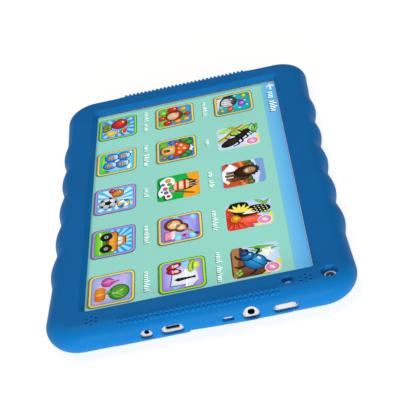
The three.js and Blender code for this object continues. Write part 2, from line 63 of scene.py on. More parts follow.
HOUSING_LOW, HOUSING_HIGH = box_mm("rear_housing")
GLASS_LOW, GLASS_HIGH = box_mm("touch_glass")
END_X = box_mm("silicone_case")[1][0]  # the case's end
PORT_FACE_X = HOUSING_HIGH[0]  # the face that the sockets open in


# ---------------------------------------------------------------- camera

CAMERA_AT = Vector((513.7, 55.5, 342.0)) * MM
CAMERA_AIM = Vector((29.8, 8.6, 12.6)) * MM
CAMERA_ROLL = math.radians(-14.73)
LENS_MM = 92.77
SENSOR_MM = 36.0


def add_object(name, data):
    made = bpy.data.objects.new(name, data)
    bpy.context.scene.collection.objects.link(made)
    return made


def make_camera():
    data = bpy.data.cameras.new("photo_camera")
    data.lens = LENS_MM
    data.sensor_width = SENSOR_MM
    data.clip_start = 0.01
    camera = add_object("photo_camera", data)
    level = (CAMERA_AIM - CAMERA_AT).to_track_quat("-Z", "Y")
    turned = level.to_matrix().to_4x4() @ Matrix.Rotation(CAMERA_ROLL, 4, "Z")
    camera.matrix_world = Matrix.Translation(CAMERA_AT) @ turned
    bpy.context.scene.camera = camera


make_camera()


# ---------------------------------------------------------------- procedural materials


class Shader:
    """A Principled material whose colour, roughness and bump can be fed from nodes."""

    def __init__(self, name, roughness=0.5, metallic=0.0, **values):
        self.material = bpy.data.materials.new(name)
        self.material.use_nodes = True
        self.tree = self.material.node_tree
        self.main = self.tree.nodes["Principled BSDF"]
        self.main.inputs["Roughness"].default_value = roughness
        self.main.inputs["Metallic"].default_value = metallic
        for socket, value in values.items():
            self.main.inputs[socket.replace("_", " ")].default_value = value
        self.coords = self.tree.nodes.new("ShaderNodeTexCoord")

    def node(self, kind, inputs=None, **settings):
        made = self.tree.nodes.new("ShaderNode" + kind)
        for key, value in settings.items():
            setattr(made, key, value)
        for key, value in (inputs or {}).items():
            if isinstance(value, bpy.types.NodeSocket):
                self.tree.links.new(value, made.inputs[key])
            else:
                made.inputs[key].default_value = value
        return made

    def feed(self, socket, output):
        self.tree.links.new(output, self.main.inputs[socket])

    def scaled(self, x, y, z):
        """Object coordinates stretched along each axis."""
        mapping = self.node("Mapping", {"Vector": self.coords.outputs["Object"], "Scale": (x, y, z)})
        return mapping.outputs["Vector"]

    def noise(self, scale, detail=2.0, vector=None, distortion=0.0, roughness=0.5):
        """Noise with a given number of features to a metre."""
        where = vector or self.coords.outputs["Object"]
        wanted = {"Vector": where, "Scale": scale, "Detail": detail, "Distortion": distortion,
                "Roughness": roughness}
        return self.node("TexNoise", wanted).outputs["Fac"]

    def between(self, factor, low, high, start=0.3, stop=0.7):
        """A factor mapped from start..stop to low..high."""
        wanted = {"Value": factor, "From Min": start, "From Max": stop, "To Min": low, "To Max": high}
        return self.node("MapRange", wanted).outputs["Result"]

    def blend_colours(self, factor, first, second):
        mixed = self.node("Mix", data_type="RGBA")
        for index, value in ((0, factor), (6, first), (7, second)):
            if isinstance(value, bpy.types.NodeSocket):
                self.tree.links.new(value, mixed.inputs[index])
            else:
                mixed.inputs[index].default_value = value if index == 0 else (*value, 1.0)
        return mixed.outputs[2]

    def tint(self, factor, low, high):
        self.feed("Base Color", self.blend_colours(factor, low, high))

    def roughen(self, factor, low, high):
        self.feed("Roughness", self.between(factor, low, high))

    def bump(self, height, depth_mm, strength):
        """Raises the surface by up to depth_mm where height is 1."""
        made = self.node("Bump", {"Height": height, "Distance": depth_mm * MM, "Strength": strength})
        self.feed("Normal", made.outputs["Normal"])


def silicone():
    """Matte moulded silicone: fine grain, a little dust and faint handling marks."""
    s = Shader("silicone", Sheen_Weight=0.01, Sheen_Roughness=0.6, Specular_IOR_Level=0.09,
            Subsurface_Weight=0.08)
    s.main.inputs["Subsurface Radius"].default_value = (0.2 * MM, 0.6 * MM, 1.2 * MM)
    s.main.inputs["Subsurface Scale"].default_value = 1.0
    clouds = s.noise(28, 3.0)
    marks = s.noise(140, 5.0, roughness=0.65)
    deep = s.blend_colours(s.between(clouds, 0.0, 1.0), (0.0005, 0.163, 0.5), (0.0015, 0.18, 0.54))
    s.tint(s.between(marks, 0.0, 0.25, 0.5, 0.85), deep, (0.004, 0.193, 0.56))
    s.roughen(marks, 0.44, 0.56)
    s.bump(s.noise(3600, 2.0), 0.012, 0.35)
    return s.material


def moulded(name, colour, roughness, grain=0.01):
    """Satin injection-moulded plastic with spark-eroded grain."""
    s = Shader(name, IOR=1.49)
    drift = s.noise(90, 3.0)
    darker = tuple(0.93 * c for c in colour)
    s.tint(s.between(drift, 0.0, 1.0), darker, colour)
    s.roughen(s.noise(420, 4.0), roughness - 0.05, roughness + 0.07)
    s.bump(s.noise(5200, 2.0), grain, 0.3)
    return s.material


def plated_steel():
    """Thin stamped steel, drawn along X, with its plating a little uneven."""
    s = Shader("plated_steel", metallic=1.0)
    drawn = s.noise(900, 3.0, vector=s.scaled(0.06, 1.0, 1.0))
    stain = s.noise(150, 3.0)
    s.tint(s.between(stain, 0.0, 1.0), (0.5, 0.5, 0.49), (0.68, 0.69, 0.7))
    s.roughen(drawn, 0.22, 0.42)
    s.bump(drawn, 0.006, 0.3)
    return s.material


def clear_pane(name, tint=(0.985, 0.99, 0.99)):
    """A thin clear pane. It lets everything through but for its front's Fresnel reflection."""
    s = Shader(name)
    tree = s.tree
    tree.nodes.remove(s.main)
    through = s.node("BsdfTransparent", {"Color": (*tint, 1.0)})
    smears = s.between(s.noise(45, 4.0), 0.015, 0.05)
    gloss = s.node("BsdfGlossy", {"Color": (1, 1, 1, 1), "Roughness": smears})
    mirrored = s.node("Fresnel", {"IOR": 1.45})
    in_front = s.node("Math", {0: 1.0, 1: s.node("NewGeometry").outputs["Backfacing"]}, operation="SUBTRACT")
    share = s.node("Math", {0: mirrored.outputs[0], 1: in_front.outputs[0]}, operation="MULTIPLY")
    mix = s.node("MixShader", {0: share.outputs[0], 1: through.outputs[0], 2: gloss.outputs[0]})
    tree.links.new(mix.outputs[0], tree.nodes["Material Output"].inputs["Surface"])
    return s.material


def glowing_picture():
    """The lit picture. Its colours come from the mesh, and its backlight is a little uneven."""
    s = Shader("lit_picture", roughness=0.6, Specular_IOR_Level=0.02, Emission_Strength=0.465)
    colour = s.node("VertexColor", layer_name="picture").outputs["Color"]
    uneven = s.between(s.noise(12, 2.0), 0.0, 0.05)
    backlit = s.blend_colours(uneven, colour, (0.0, 0.0, 0.0))
    s.feed("Base Color", backlit)
    s.feed("Emission Color", backlit)
    return s.material


def circuit_board():
    """Green solder mask with fine copper tracks under it."""
    s = Shader("circuit_board", IOR=1.5)
    tracks = s.node(
        "TexBrick",
        {
            "Vector": s.coords.outputs["Object"], "Scale": 260.0, "Mortar Size": 0.12, "Brick Width": 0.9,
            "Row Height": 0.35, "Color1": (1, 1, 1, 1), "Color2": (1, 1, 1, 1), "Mortar": (0, 0, 0, 1),
        },
        offset=0.37,
    ).outputs["Fac"]
    s.tint(tracks, (0.012, 0.11, 0.055), (0.03, 0.2, 0.1))
    s.roughen(s.noise(500), 0.3, 0.42)
    s.bump(tracks, 0.03, 0.4)
    return s.material


def flex_film():
    """Amber polyimide with copper lines along it."""
    s = Shader("flex_film", IOR=1.6)
    lines = s.node("TexWave", {"Vector": s.coords.outputs["Object"], "Scale": 320.0, "Distortion": 0.0},
            bands_direction="X").outputs["Fac"]
    s.feed("Base Color", s.blend_colours(s.between(lines, 0.0, 1.0, 0.4, 0.6), (0.5, 0.17, 0.02),
            (0.68, 0.3, 0.07)))
    s.roughen(s.noise(300), 0.28, 0.42)
    s.bump(lines, 0.015, 0.4)
    return s.material


def worn(name, noise, colours, rough, depth, strength=0.3, most=1.0, **values):
    """A material whose colour, roughness and bump all follow one noise: foil, tape, insulation or gold."""
    s = Shader(name, **values)
    wear = s.noise(*noise)
    s.tint(s.between(wear, 0.0, most), *colours)
    s.roughen(wear, *rough)
    s.bump(wear, depth, strength)
    return s.material


def wire_jacket(name, colour):
    """Extruded wire insulation, a little scuffed."""
    scuffed = tuple(min(1, 1.6 * c + 0.01) for c in colour)
    return worn(name, (800, 3.0), (colour, scuffed), (0.35, 0.5), 0.01, most=0.4, IOR=1.5)


def coated_lens():
    """Dark glass whose anti-reflection coating turns its edge violet."""
    s = Shader("coated_lens", roughness=0.04, IOR=1.6, Coat_Weight=1.0, Coat_Roughness=0.03)
    rim = s.node("LayerWeight", {"Blend": 0.4}).outputs["Facing"]
    s.tint(rim, (0.004, 0.005, 0.012), (0.07, 0.03, 0.16))
    return s.material


def glow(material, colour, strength):
    """Painted light: emission that makes a piece brighter than the lamps light it."""
    main = material.node_tree.nodes["Principled BSDF"]
    main.inputs["Emission Color"].default_value = (*colour, 1)
    main.inputs["Emission Strength"].default_value = strength


SILICONE = silicone()
WHITE_PLASTIC = moulded("white_plastic", (0.66, 0.615, 0.635), 0.4)
BLACK_PLASTIC = moulded("black_plastic", (0.016, 0.016, 0.018), 0.42)
MILKY_PLASTIC = moulded("milky_plastic", (0.6, 0.72, 0.86), 0.22, 0.004)
BLACK_INK = moulded("black_ink", (0.008, 0.008, 0.009), 0.3, 0.002)
WHITE_INK = moulded("white_ink", (0.87, 0.84, 0.85), 0.3, 0.002)
# Painted light: a lighter, bluer copy of the white plastic, for the bezel's up-facing surfaces that the lamps
# light less.
BEZEL_PLASTIC_LIT = moulded("bezel_plastic_lit", (0.82, 0.86, 0.95), 0.4)
STEEL = plated_steel()
GLASS = clear_pane("cover_glass")
WINDOW_GLASS = clear_pane("window_glass", (0.9, 0.92, 0.95))
PICTURE = glowing_picture()
LAMINATE = circuit_board()
FILM = flex_film()
POUCH = worn("foil_pouch", (70, 6.0, None, 0.6), ((0.5, 0.51, 0.53), (0.66, 0.67, 0.69)), (0.3, 0.48), 0.25,
        0.35, metallic=0.85)
RED_WIRE = wire_jacket("red_wire", (0.45, 0.012, 0.01))
BLACK_WIRE = wire_jacket("black_wire", (0.012, 0.012, 0.013))
TAPE = worn("matt_tape", (1800, 2.0), ((0.02, 0.02, 0.022), (0.05, 0.05, 0.055)), (0.7, 0.9), 0.03, 0.5)
GOLD = worn("gold_plate", (1500, 3.0), ((0.7, 0.5, 0.22), (0.85, 0.66, 0.33)), (0.2, 0.35), 0.004,
        metallic=1.0)
LENS_COATING = coated_lens()
# Painted light: this emission brightens the recessed charge light pipe, which the lamps leave dark.
glow(MILKY_PLASTIC, (0.3, 0.47, 0.9), 0.45)
# Painted light: this emission brightens the white border under the glass, whose up-facing surface the lamps
# light too little.
glow(WHITE_INK, (0.6, 0.68, 0.85), 0.16)

SLOT_MATERIALS = {
    "silicone": SILICONE,
    "white_plastic": WHITE_PLASTIC,
    "screen_glass": GLASS,
    "display": BLACK_INK,
    "clear_acrylic": MILKY_PLASTIC,
    "steel": STEEL,
    "black_plastic": BLACK_PLASTIC,
    "battery_pouch": POUCH,
    "circuit_board": LAMINATE,
    "flex_film": FILM,
    "red_insulation": RED_WIRE,
    "adhesive_tape": TAPE,
}
NODE_MATERIALS = {
    "front_bezel": BEZEL_PLASTIC_LIT,
    "rear_camera_window": WINDOW_GLASS,
    "battery_lead_black": BLACK_WIRE,
    "antenna_lead": BLACK_WIRE,
}


def paint_cad():
    """Every CAD node takes the procedural material of its slot, or one of its own."""
    for part in frame["record"]["subparts"]:
        node = frame["nodes"][part["node"]]
        node.data.materials.clear()
        node.data.materials.append(NODE_MATERIALS.get(part["node"], SLOT_MATERIALS[part["material_slot"]]))


paint_cad()


# ---------------------------------------------------------------- mesh helpers


def new_piece(name, mesh, material, body="tablet"):
    """A finished piece on a CAD body."""
    piece = add_object(name, mesh)
    mesh.materials.clear()
    mesh.materials.append(material)
    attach(piece, body)
    return piece


def mesh_from(name, points_mm, faces):
    mesh = bpy.data.meshes.new(name)
    mesh.from_pydata((np.asarray(points_mm) * MM).tolist(), [], faces)
    mesh.update()
    return mesh


def ring_faces(levels, count, closed=True):
    """Quads between rings. A closed section also runs from its last ring back to its first."""
    faces = []
    for level in range(levels if closed else levels - 1):
        here, above = level * count, (level + 1) % levels * count
        for i in range(count):
            j = (i + 1) % count
            faces.append((here + i, here + j, above + j, above + i))
    return faces


def loft(name, rings):
    """A closed mesh over rings of equal length, which run counter-clockwise seen from the last."""
    rings = np.asarray(rings, float)
    levels, count, _ = rings.shape
    ends = [tuple(reversed(range(count))), tuple(range((levels - 1) * count, levels * count))]
    return mesh_from(name, rings.reshape(-1, 3), ring_faces(levels, count, closed=False) + ends)


def turned(name, x, y, profile, sides=48):
    """A solid of revolution about a vertical line, from (radius, z) steps upwards."""
    turns = np.linspace(0, 2 * math.pi, sides, endpoint=False)
    return loft(name, [at_height(np.column_stack([x + r * np.cos(turns), y + r * np.sin(turns)]), z) for r,
            z in profile])


def at_height(outline, z):
    """A plan outline as a ring of points at one height."""
    return np.column_stack([outline, np.full(len(outline), z)])


def across_x(x, outline, y, z):
    """An outline as a ring of points across the X axis, centred on y and z."""
    return np.column_stack([np.full(len(outline), x), outline[:, 0] + y, outline[:, 1] + z])


def join_meshes(name, meshes):
    """One mesh that holds several."""
    bm = bmesh.new()
    for mesh in meshes:
        bm.from_mesh(mesh)
        bpy.data.meshes.remove(mesh)
    joined = bpy.data.meshes.new(name)
    bm.to_mesh(joined)
    bm.free()
    return joined


def cut(mesh, cutter_mesh, operation="DIFFERENCE"):
    """mesh with cutter_mesh taken away, or joined to it by a UNION."""
    body, cutter = add_object("body", mesh), add_object("cutter", cutter_mesh)
    modifier = body.modifiers.new("cut", "BOOLEAN")
    modifier.operation = operation
    modifier.solver = "MANIFOLD"
    modifier.object = cutter
    graph = bpy.context.evaluated_depsgraph_get()
    result = bpy.data.meshes.new_from_object(body.evaluated_get(graph), depsgraph=graph)
    for each in (body, cutter):
        bpy.data.objects.remove(each)
    return result


def smooth(mesh, sharp_degrees=40):
    """Smooth shading, but for edges sharper than an angle."""
    mesh.shade_smooth()
    mesh.set_sharp_from_angle(angle=math.radians(sharp_degrees))


def ease(t):
    """A smooth step from 0 to 1."""
    t = np.clip(t, 0.0, 1.0)
    return t * t * (3 - 2 * t)


def rounded_outline(half_x, half_y, radius, arc_steps=8):
    """Points round a round-cornered rectangle, counter-clockwise, and their outward directions."""
    centres, outwards = [], []
    for sx, sy, start in ((1, 1, 0), (-1, 1, 90), (-1, -1, 180), (1, -1, 270)):
        for step in range(arc_steps + 1):
            angle = math.radians(start + 90 * step / arc_steps)
            centres.append((sx * (half_x - radius), sy * (half_y - radius)))
            outwards.append((math.cos(angle), math.sin(angle)))
    centres, outwards = np.array(centres), np.array(outwards)
    return centres + radius * outwards, outwards


# ---------------------------------------------------------------- silicone case

CORNER = 19.0  # plan radius of the case's corners
EDGE = 8.0  # how far the rolled edge reaches in from the side
BELLY = 8.0  # height of the case's widest line
FACE_Z = 15.5  # height of the flat front face
WAIST = 153.6 / 2  # half the case's width between finger waves
BOW = 2.1  # how far the long sides bow out, 100 mm from their middle
WAVES, WAVE_PITCH, WAVE_DEPTH, WAVE_SOFT = 5, 29.0, 2.0, 0.35
WAVE_LEAST = 0.3  # share of the wave that reaches the back and the face
PANEL_HALF, PANEL_RISE = 44.0, 0.45  # the raised panel on each end that carries the studs
STUD_ROWS, STUDS, STUD_PITCH = (77.0, 60.0), 31, 2.6
STUD_HALF, STUD_RISE = 0.98, 0.88
WINDOW_X, WINDOW_Y = 98.8, 58.1  # half the screen window at its foot
WINDOW_CORNER = 1.5
LIP_RUN, LIP_FOOT_Z = 2.9, 13.25  # the window's sloping lip
CAVITY_TOP = HOUSING_LOW[2] + 9.6
NOTCH_RISE, NOTCH_INNER_X = 1.7, 100.2


def plan_samples():
    """Fractions along a side and along an end, finest at the studs, and angles round a corner."""
    straight_end = WAIST + BOW * ((END_X - CORNER) / 100) ** 2 - CORNER
    studded = (STUDS // 2 + 1) * STUD_PITCH
    fine = np.linspace(-studded, studded, 8 * 2 * (STUDS // 2 + 1) + 1)
    plain = np.linspace(studded, straight_end, 14)[1:]
    end = np.concatenate([-plain[::-1], fine, plain]) / straight_end
    return np.linspace(-1, 1, 161), end, np.radians(np.linspace(0, 90, 25))[1:-1]


SIDE_T, END_T, CORNER_T = plan_samples()


def plan_ring(half_x, half_y, radius):
    """Matching rings: points, outward directions, and which of them are on a side and on an end."""
    inner = np.array((half_x - radius, half_y - radius))
    centres, outs, on_side, on_end = [], [], [], []
    straights = ((END_T, 1), (SIDE_T[::-1], 1), (END_T[::-1], -1), (SIDE_T, -1))
    corners = ((1, 1), (-1, 1), (-1, -1), (1, -1))
    for quarter, ((fractions, sign), corner) in enumerate(zip(straights, corners)):
        end = quarter % 2 == 0
        for t in fractions:
            centres.append(inner * ((sign, t) if end else (t, sign)))
            outs.append((sign, 0) if end else (0, sign))
        for angle in CORNER_T + quarter * math.pi / 2:
            centres.append(inner * corner)
            outs.append((math.cos(angle), math.sin(angle)))
        on_side += [not end] * len(fractions) + [False] * len(CORNER_T)
        on_end += [end] * len(fractions) + [False] * len(CORNER_T)
    centres, outs = np.array(centres), np.array(outs, float)
    return centres + radius * outs, outs, np.array(on_side), np.array(on_end)


def finger_wave(x):
    """Height of the finger waves, from 0 in a valley to 1 on a crest."""
    reach = WAVES * WAVE_PITCH / 2
    swing = np.sin(np.pi * (x + reach) / WAVE_PITCH)
    crest = (np.hypot(swing, WAVE_SOFT) - WAVE_SOFT) / (math.hypot(1, WAVE_SOFT) - WAVE_SOFT)
    return np.where(np.abs(x) < reach, crest, 0.0)


def panel_share(y):
    """1 on the raised panel and 0 beside it."""
    return ease((PANEL_HALF + 0.7 - np.abs(y)) / 1.4)


def end_face_x(y, z):
    """How far out the case's end wall is at a place on it."""
    rise = np.where(z > BELLY, (z - BELLY) / (FACE_Z - BELLY), (BELLY - z) / BELLY)
    inset = EDGE * (1 - np.sqrt(np.clip(1 - rise**2, 0, 1)))
    return END_X - inset - PANEL_RISE * (1 - panel_share(y))


def stud_height(y, angle):
    """Rise of the studs over the rolled edge, at an angle up from its widest line."""
    nearest = np.round(y / STUD_PITCH).clip(-(STUDS // 2), STUDS // 2) * STUD_PITCH
    u = (y - nearest) / STUD_HALF
    height = np.zeros_like(y)
    for row in STUD_ROWS:
        v = math.radians(angle - row) * (EDGE - 0.3) / STUD_HALF
        q = (np.abs(u) ** 3 + abs(v) ** 3) ** (1 / 3)
        height = np.maximum(height, STUD_RISE * np.clip(1 - q**3.5, 0, 1))
    return height


def notch_floor(x, y):
    """Height of the finger notch's roof under each end, which rises to the wall's outside."""
    y = y * np.sign(x)  # the far end's notch is the near one's, turned half round
    across = ease((y + 10.5) / 3) * ease((19 - y) / 7)  # from y = -10.5 to 19, with soft ends
    inner = NOTCH_RISE * across * ease((np.abs(x) - NOTCH_INNER_X + 0.8) / 1.6)
    crest = np.clip(4.5 - 0.13 * (y + 6), 0, 4.5) * ease((y + 8) / 2.2) * ease((30 - y) / 12)
    return inner + crest * np.clip((np.abs(x) - 113.5) / 6, 0, 1) ** 1.8


def case_rings():
    """Rings from under the case, round its edge and over its face, down into the window."""
    half_y = WAIST + BOW * ((END_X - CORNER) / 100) ** 2
    outline, outs, on_side, on_end = plan_ring(END_X, half_y, CORNER)
    bowed = outline.copy()
    side_y = WAIST + BOW * (outline[:, 0] / 100) ** 2
    bowed[:, 1] = np.where(on_side, outs[:, 1] * side_y, outline[:, 1])
    wave = np.where(on_side, finger_wave(outline[:, 0]), 0.0)
    on_panel = np.where(on_end, panel_share(outline[:, 1]), 0.0)

    def ring(inset, z, wave_share, panel=1.0, rise=0.0, angle=0.0):
        recess = PANEL_RISE * outs[:, 0] ** 2 * (1 - on_panel) * panel
        kept = min(inset, CORNER - 1)  # further in, the ring shrinks so that its corners don't fold
        out = wave * WAVE_DEPTH * wave_share - kept - recess
        points = at_height(bowed + outs * out[:, None], z)
        points[:, :2] *= (END_X - inset) / (END_X - kept), (half_y - inset) / (half_y - kept)
        rise = rise * on_end
        points[:, :2] += outs * (rise * math.cos(angle))[:, None]
        points[:, 2] += rise * math.sin(angle)
        floor = notch_floor(points[:, 0], points[:, 1])
        soft = 0.35
        lifted = 0.5 * (points[:, 2] + floor + np.hypot(points[:, 2] - floor, soft * (floor > 0.01)))
        points[:, 2] = np.where(floor > 0.01, lifted - soft * 0.5 * (floor < 0.2), points[:, 2])
        return points

    flat_insets = (21, 20, 19, 18, 16, 14, 12, 10)
    flat_run = flat_insets[0] - EDGE
    rings = [ring(inset, 0.0, WAVE_LEAST * (1 - (inset - EDGE) / flat_run), 0.0) for inset in flat_insets]
    for angle in np.radians(np.linspace(90, 5, 16)):
        share = WAVE_LEAST + (1 - WAVE_LEAST) * math.cos(angle)
        rings.append(ring(EDGE * (1 - math.cos(angle)), BELLY * (1 - math.sin(angle)), share,
                math.cos(angle)))
    coarse, fine = np.linspace(0, 48, 9), np.linspace(51, 86, 22)  # fine over the two rows of studs
    for degrees in (*coarse, *fine, 90):
        angle = math.radians(degrees)
        share = WAVE_LEAST + (1 - WAVE_LEAST) * math.cos(angle)
        z = BELLY + (FACE_Z - BELLY) * math.sin(angle)
        fade = float(ease((88 - degrees) / 6))
        studs = stud_height(outline[:, 1], degrees)
        rings.append(ring(EDGE * (1 - math.cos(angle)), z, share, fade, studs, angle))

    def window_ring(margin, z):
        return at_height(plan_ring(WINDOW_X + margin, WINDOW_Y + margin, WINDOW_CORNER + margin)[0], z)

    crest = window_ring(LIP_RUN + 0.9, FACE_Z)
    edge = rings[-1]
    rings += [edge + (crest - edge) * t for t in (0.2, 0.4, 0.6, 0.8)]
    slope = math.atan2(FACE_Z - LIP_FOOT_Z, LIP_RUN)
    crest_radius, foot_radius = 1.9, 0.4
    top_start = LIP_RUN + crest_radius * math.tan(slope / 2)
    for step in np.linspace(0, 1, 7):
        turn = slope * step
        margin = top_start - crest_radius * math.sin(turn)
        rings.append(window_ring(margin, FACE_Z - crest_radius * (1 - math.cos(turn))))
    foot_turn = math.pi / 2 - slope
    foot_start = foot_radius * math.tan(foot_turn / 2)
    for step in np.linspace(0, 1, 5):
        turn = slope + foot_turn * step
        along = foot_radius * (math.sin(turn) - math.sin(slope))
        drop = foot_radius * (math.cos(slope) - math.cos(turn))
        margin = foot_start * math.cos(slope) - along
        rings.append(window_ring(margin, LIP_FOOT_Z + foot_start * math.sin(slope) - drop))
    rings.append(window_ring(0.0, CAVITY_TOP - 0.6))
    return rings


def cavity():
    """The room that the tablet fills."""
    gap, corner = 0.3, 14.3
    half_x, half_y = HOUSING_HIGH[0] + gap, HOUSING_HIGH[1] + gap
    bottom = HOUSING_LOW[2] - gap
    steps = ((bottom, 2.4), (bottom + 0.55, 1.0), (bottom + 1.4, 0.3), (bottom + 2.2, 0.0),
            (CAVITY_TOP - 1.3, 0.0), (CAVITY_TOP, 1.0))
    outlines = [rounded_outline(half_x - inset, half_y - inset, corner - inset)[0] for _, inset in steps]
    return loft("cavity", [at_height(outline, z) for outline, (z, _) in zip(outlines, steps)])


PORT_Z = (box_mm("volume_rocker")[0][2] + box_mm("volume_rocker")[1][2]) / 2

# Each opening in the case's end wall, by the node behind it: half its width, half its height, and its
# corner radius.
END_OPENINGS = {
    "dc_power_jack": (3.2, 2.8, 2.79),
    "micro_usb_socket": (5.6, 2.8, 2.5),
    "power_key": (2.9, 1.3, 1.29),
    "headphone_jack": (4.25, 4.25, 4.24),
    "volume_rocker": (5.9, 2.4, 1.7),
}


def centre_of(node):
    low, high = box_mm(node)
    return (low[0] + high[0]) / 2, (low[1] + high[1]) / 2


def end_cutter(node, half_y, half_z, radius, fillet=0.55):
    """A hole through the end wall with a rolled mouth that follows the wall's curve."""
    outline, outs = rounded_outline(half_y, half_z, radius, 10)
    y0 = centre_of(node)[1]
    rings = [across_x(PORT_FACE_X - 3, outline, y0, PORT_Z)]
    for turn in np.radians(np.linspace(0, 78, 7)):
        spread = outline + outs * fillet * (1 - math.cos(turn))
        y, z = spread[:, 0] + y0, spread[:, 1] + PORT_Z
        rings.append(np.column_stack([end_face_x(y, z) - fillet * (1 - math.sin(turn)), y, z]))
    rings.append(across_x(END_X + 2, outline + outs * fillet * 1.15, y0, PORT_Z))
    return loft(node, rings)


def rolled_mouth(foot, head, z0, z1, fillet, down=False):
    """(radius, z) steps of a cone whose mouth rolls over into the surface."""
    steps = [(foot, z0), (head, z1 - fillet)]
    for turn in np.radians((20, 40, 60, 78)):
        steps.append((head + fillet * (1 - math.cos(turn)), z1 - fillet * (1 - math.sin(turn))))
    steps.append((head + fillet * 1.1, z1 + 1.0))
    if down:
        steps = [(r, -z) for r, z in reversed(steps)]
    return steps


SPEAKER_PITCH, SPEAKER_HOLE = 2.8, 0.5
SPEAKER_X, SPEAKER_Y = 109.2, 53.5
DRILL_Z = 12.0  # where the holes through the face start, inside the cavity


def rose_places(node):
    """The seven holes over a speaker."""
    side = 1 if node == "speaker_right" else -1
    centre = np.array((SPEAKER_X, side * SPEAKER_Y))
    ring = [(math.cos(a), math.sin(a)) for a in np.radians(np.arange(0, 360, 60))]
    return [centre + SPEAKER_PITCH * np.array(p) for p in [(0, 0), *ring]]


def build_case():
    """The silicone bumper: its skin, less the room for the tablet and the openings."""
    camera, led, rear = centre_of("front_camera"), centre_of("led_light_pipe"), centre_of("rear_camera")
    cutters = [end_cutter(node, *size) for node, size in END_OPENINGS.items()]
    cutters.append(turned("hole", *camera, rolled_mouth(2.6, 4.1, DRILL_Z, FACE_Z, 0.6), 56))
    cutters.append(turned("hole", *led, rolled_mouth(1.4, 2.85, DRILL_Z, FACE_Z, 0.5), 40))
    for node in ("speaker_right", "speaker_left"):
        for x, y in rose_places(node):
            mouth = rolled_mouth(SPEAKER_HOLE, SPEAKER_HOLE, DRILL_Z, FACE_Z, 0.22)
            cutters.append(turned("hole", x, y, mouth, 20))
    cutters.append(turned("hole", *rear, rolled_mouth(4.6, 6.1, -3.6, 0.0, 0.5, down=True), 56))
    case = cut(loft("case", case_rings()), cavity())
    case = cut(case, join_meshes("openings", cutters))
    smooth(case, 35)
    piece = new_piece("silicone_bumper", case, SILICONE)
    weighted = piece.modifiers.new("even_shading", "WEIGHTED_NORMAL")
    weighted.keep_sharp = True
    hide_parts("silicone_case")


build_case()


# ---------------------------------------------------------------- keys, sockets and lenses


def along_x(name, y, z, half_y, half_z, radius, steps, arc_steps=8):
    """A round-cornered bar along X, from (x, inset) steps."""
    rings = []
    for x, inset in steps:
        outline, _ = rounded_outline(half_y - inset, half_z - inset, max(radius - inset, 0.02), arc_steps)
        rings.append(across_x(x, outline, y, z))
    return loft(name, rings)


def rolled_steps(start, end, roll):
    """(position, inset) steps that end in a rolled edge."""
    turns = np.linspace(0, math.pi / 2, 7)
    return [(start, 0.0), *((end - roll * (1 - math.sin(t)), roll * (1 - math.cos(t))) for t in turns)]


def dimple(x, y, z, radius, depth):
    """A shallow ball-shaped cutter in a face that looks along X."""
    ball = (radius**2 + depth**2) / (2 * depth)
    made = bmesh.new()
    bmesh.ops.create_uvsphere(made, u_segments=24, v_segments=16, radius=ball * MM)
    made.transform(Matrix.Translation(Vector((x + ball - depth, y, z)) * MM))
    mesh = bpy.data.meshes.new("dimple")
    made.to_mesh(mesh)
    made.free()
    return mesh


KEY_FLANGE = 0.8  # thickness of the flange
KEY_ROLL = 0.42  # radius of the cap's rolled edge
DOT_RADIUS, DOT_DEPTH = 0.6, 0.36


def build_key(node, cap_y, cap_z, radius, dots=()):
    """A key's cap with a rolled edge, on the flange that keeps it in."""
    low, high = box_mm(node)
    y, z = centre_of(node)[1], PORT_Z
    flange_top = low[0] + KEY_FLANGE
    cap = along_x(node, y, z, cap_y, cap_z, radius, rolled_steps(flange_top - 0.2, high[0], KEY_ROLL))
    for offset in dots:
        cap = cut(cap, dimple(high[0], y + offset, z, DOT_RADIUS, DOT_DEPTH))
    flange = along_x("flange", y, z, (high[1] - low[1]) / 2, (high[2] - low[2]) / 2, 0.3,
                     [(low[0], 0.08), (low[0] + 0.08, 0), (flange_top - 0.08, 0), (flange_top, 0.08)])
    key = join_meshes(node, [cap, flange])
    smooth(key)
    piece = new_piece(node + "_cap", key, WHITE_PLASTIC, body=node)
    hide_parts(node)


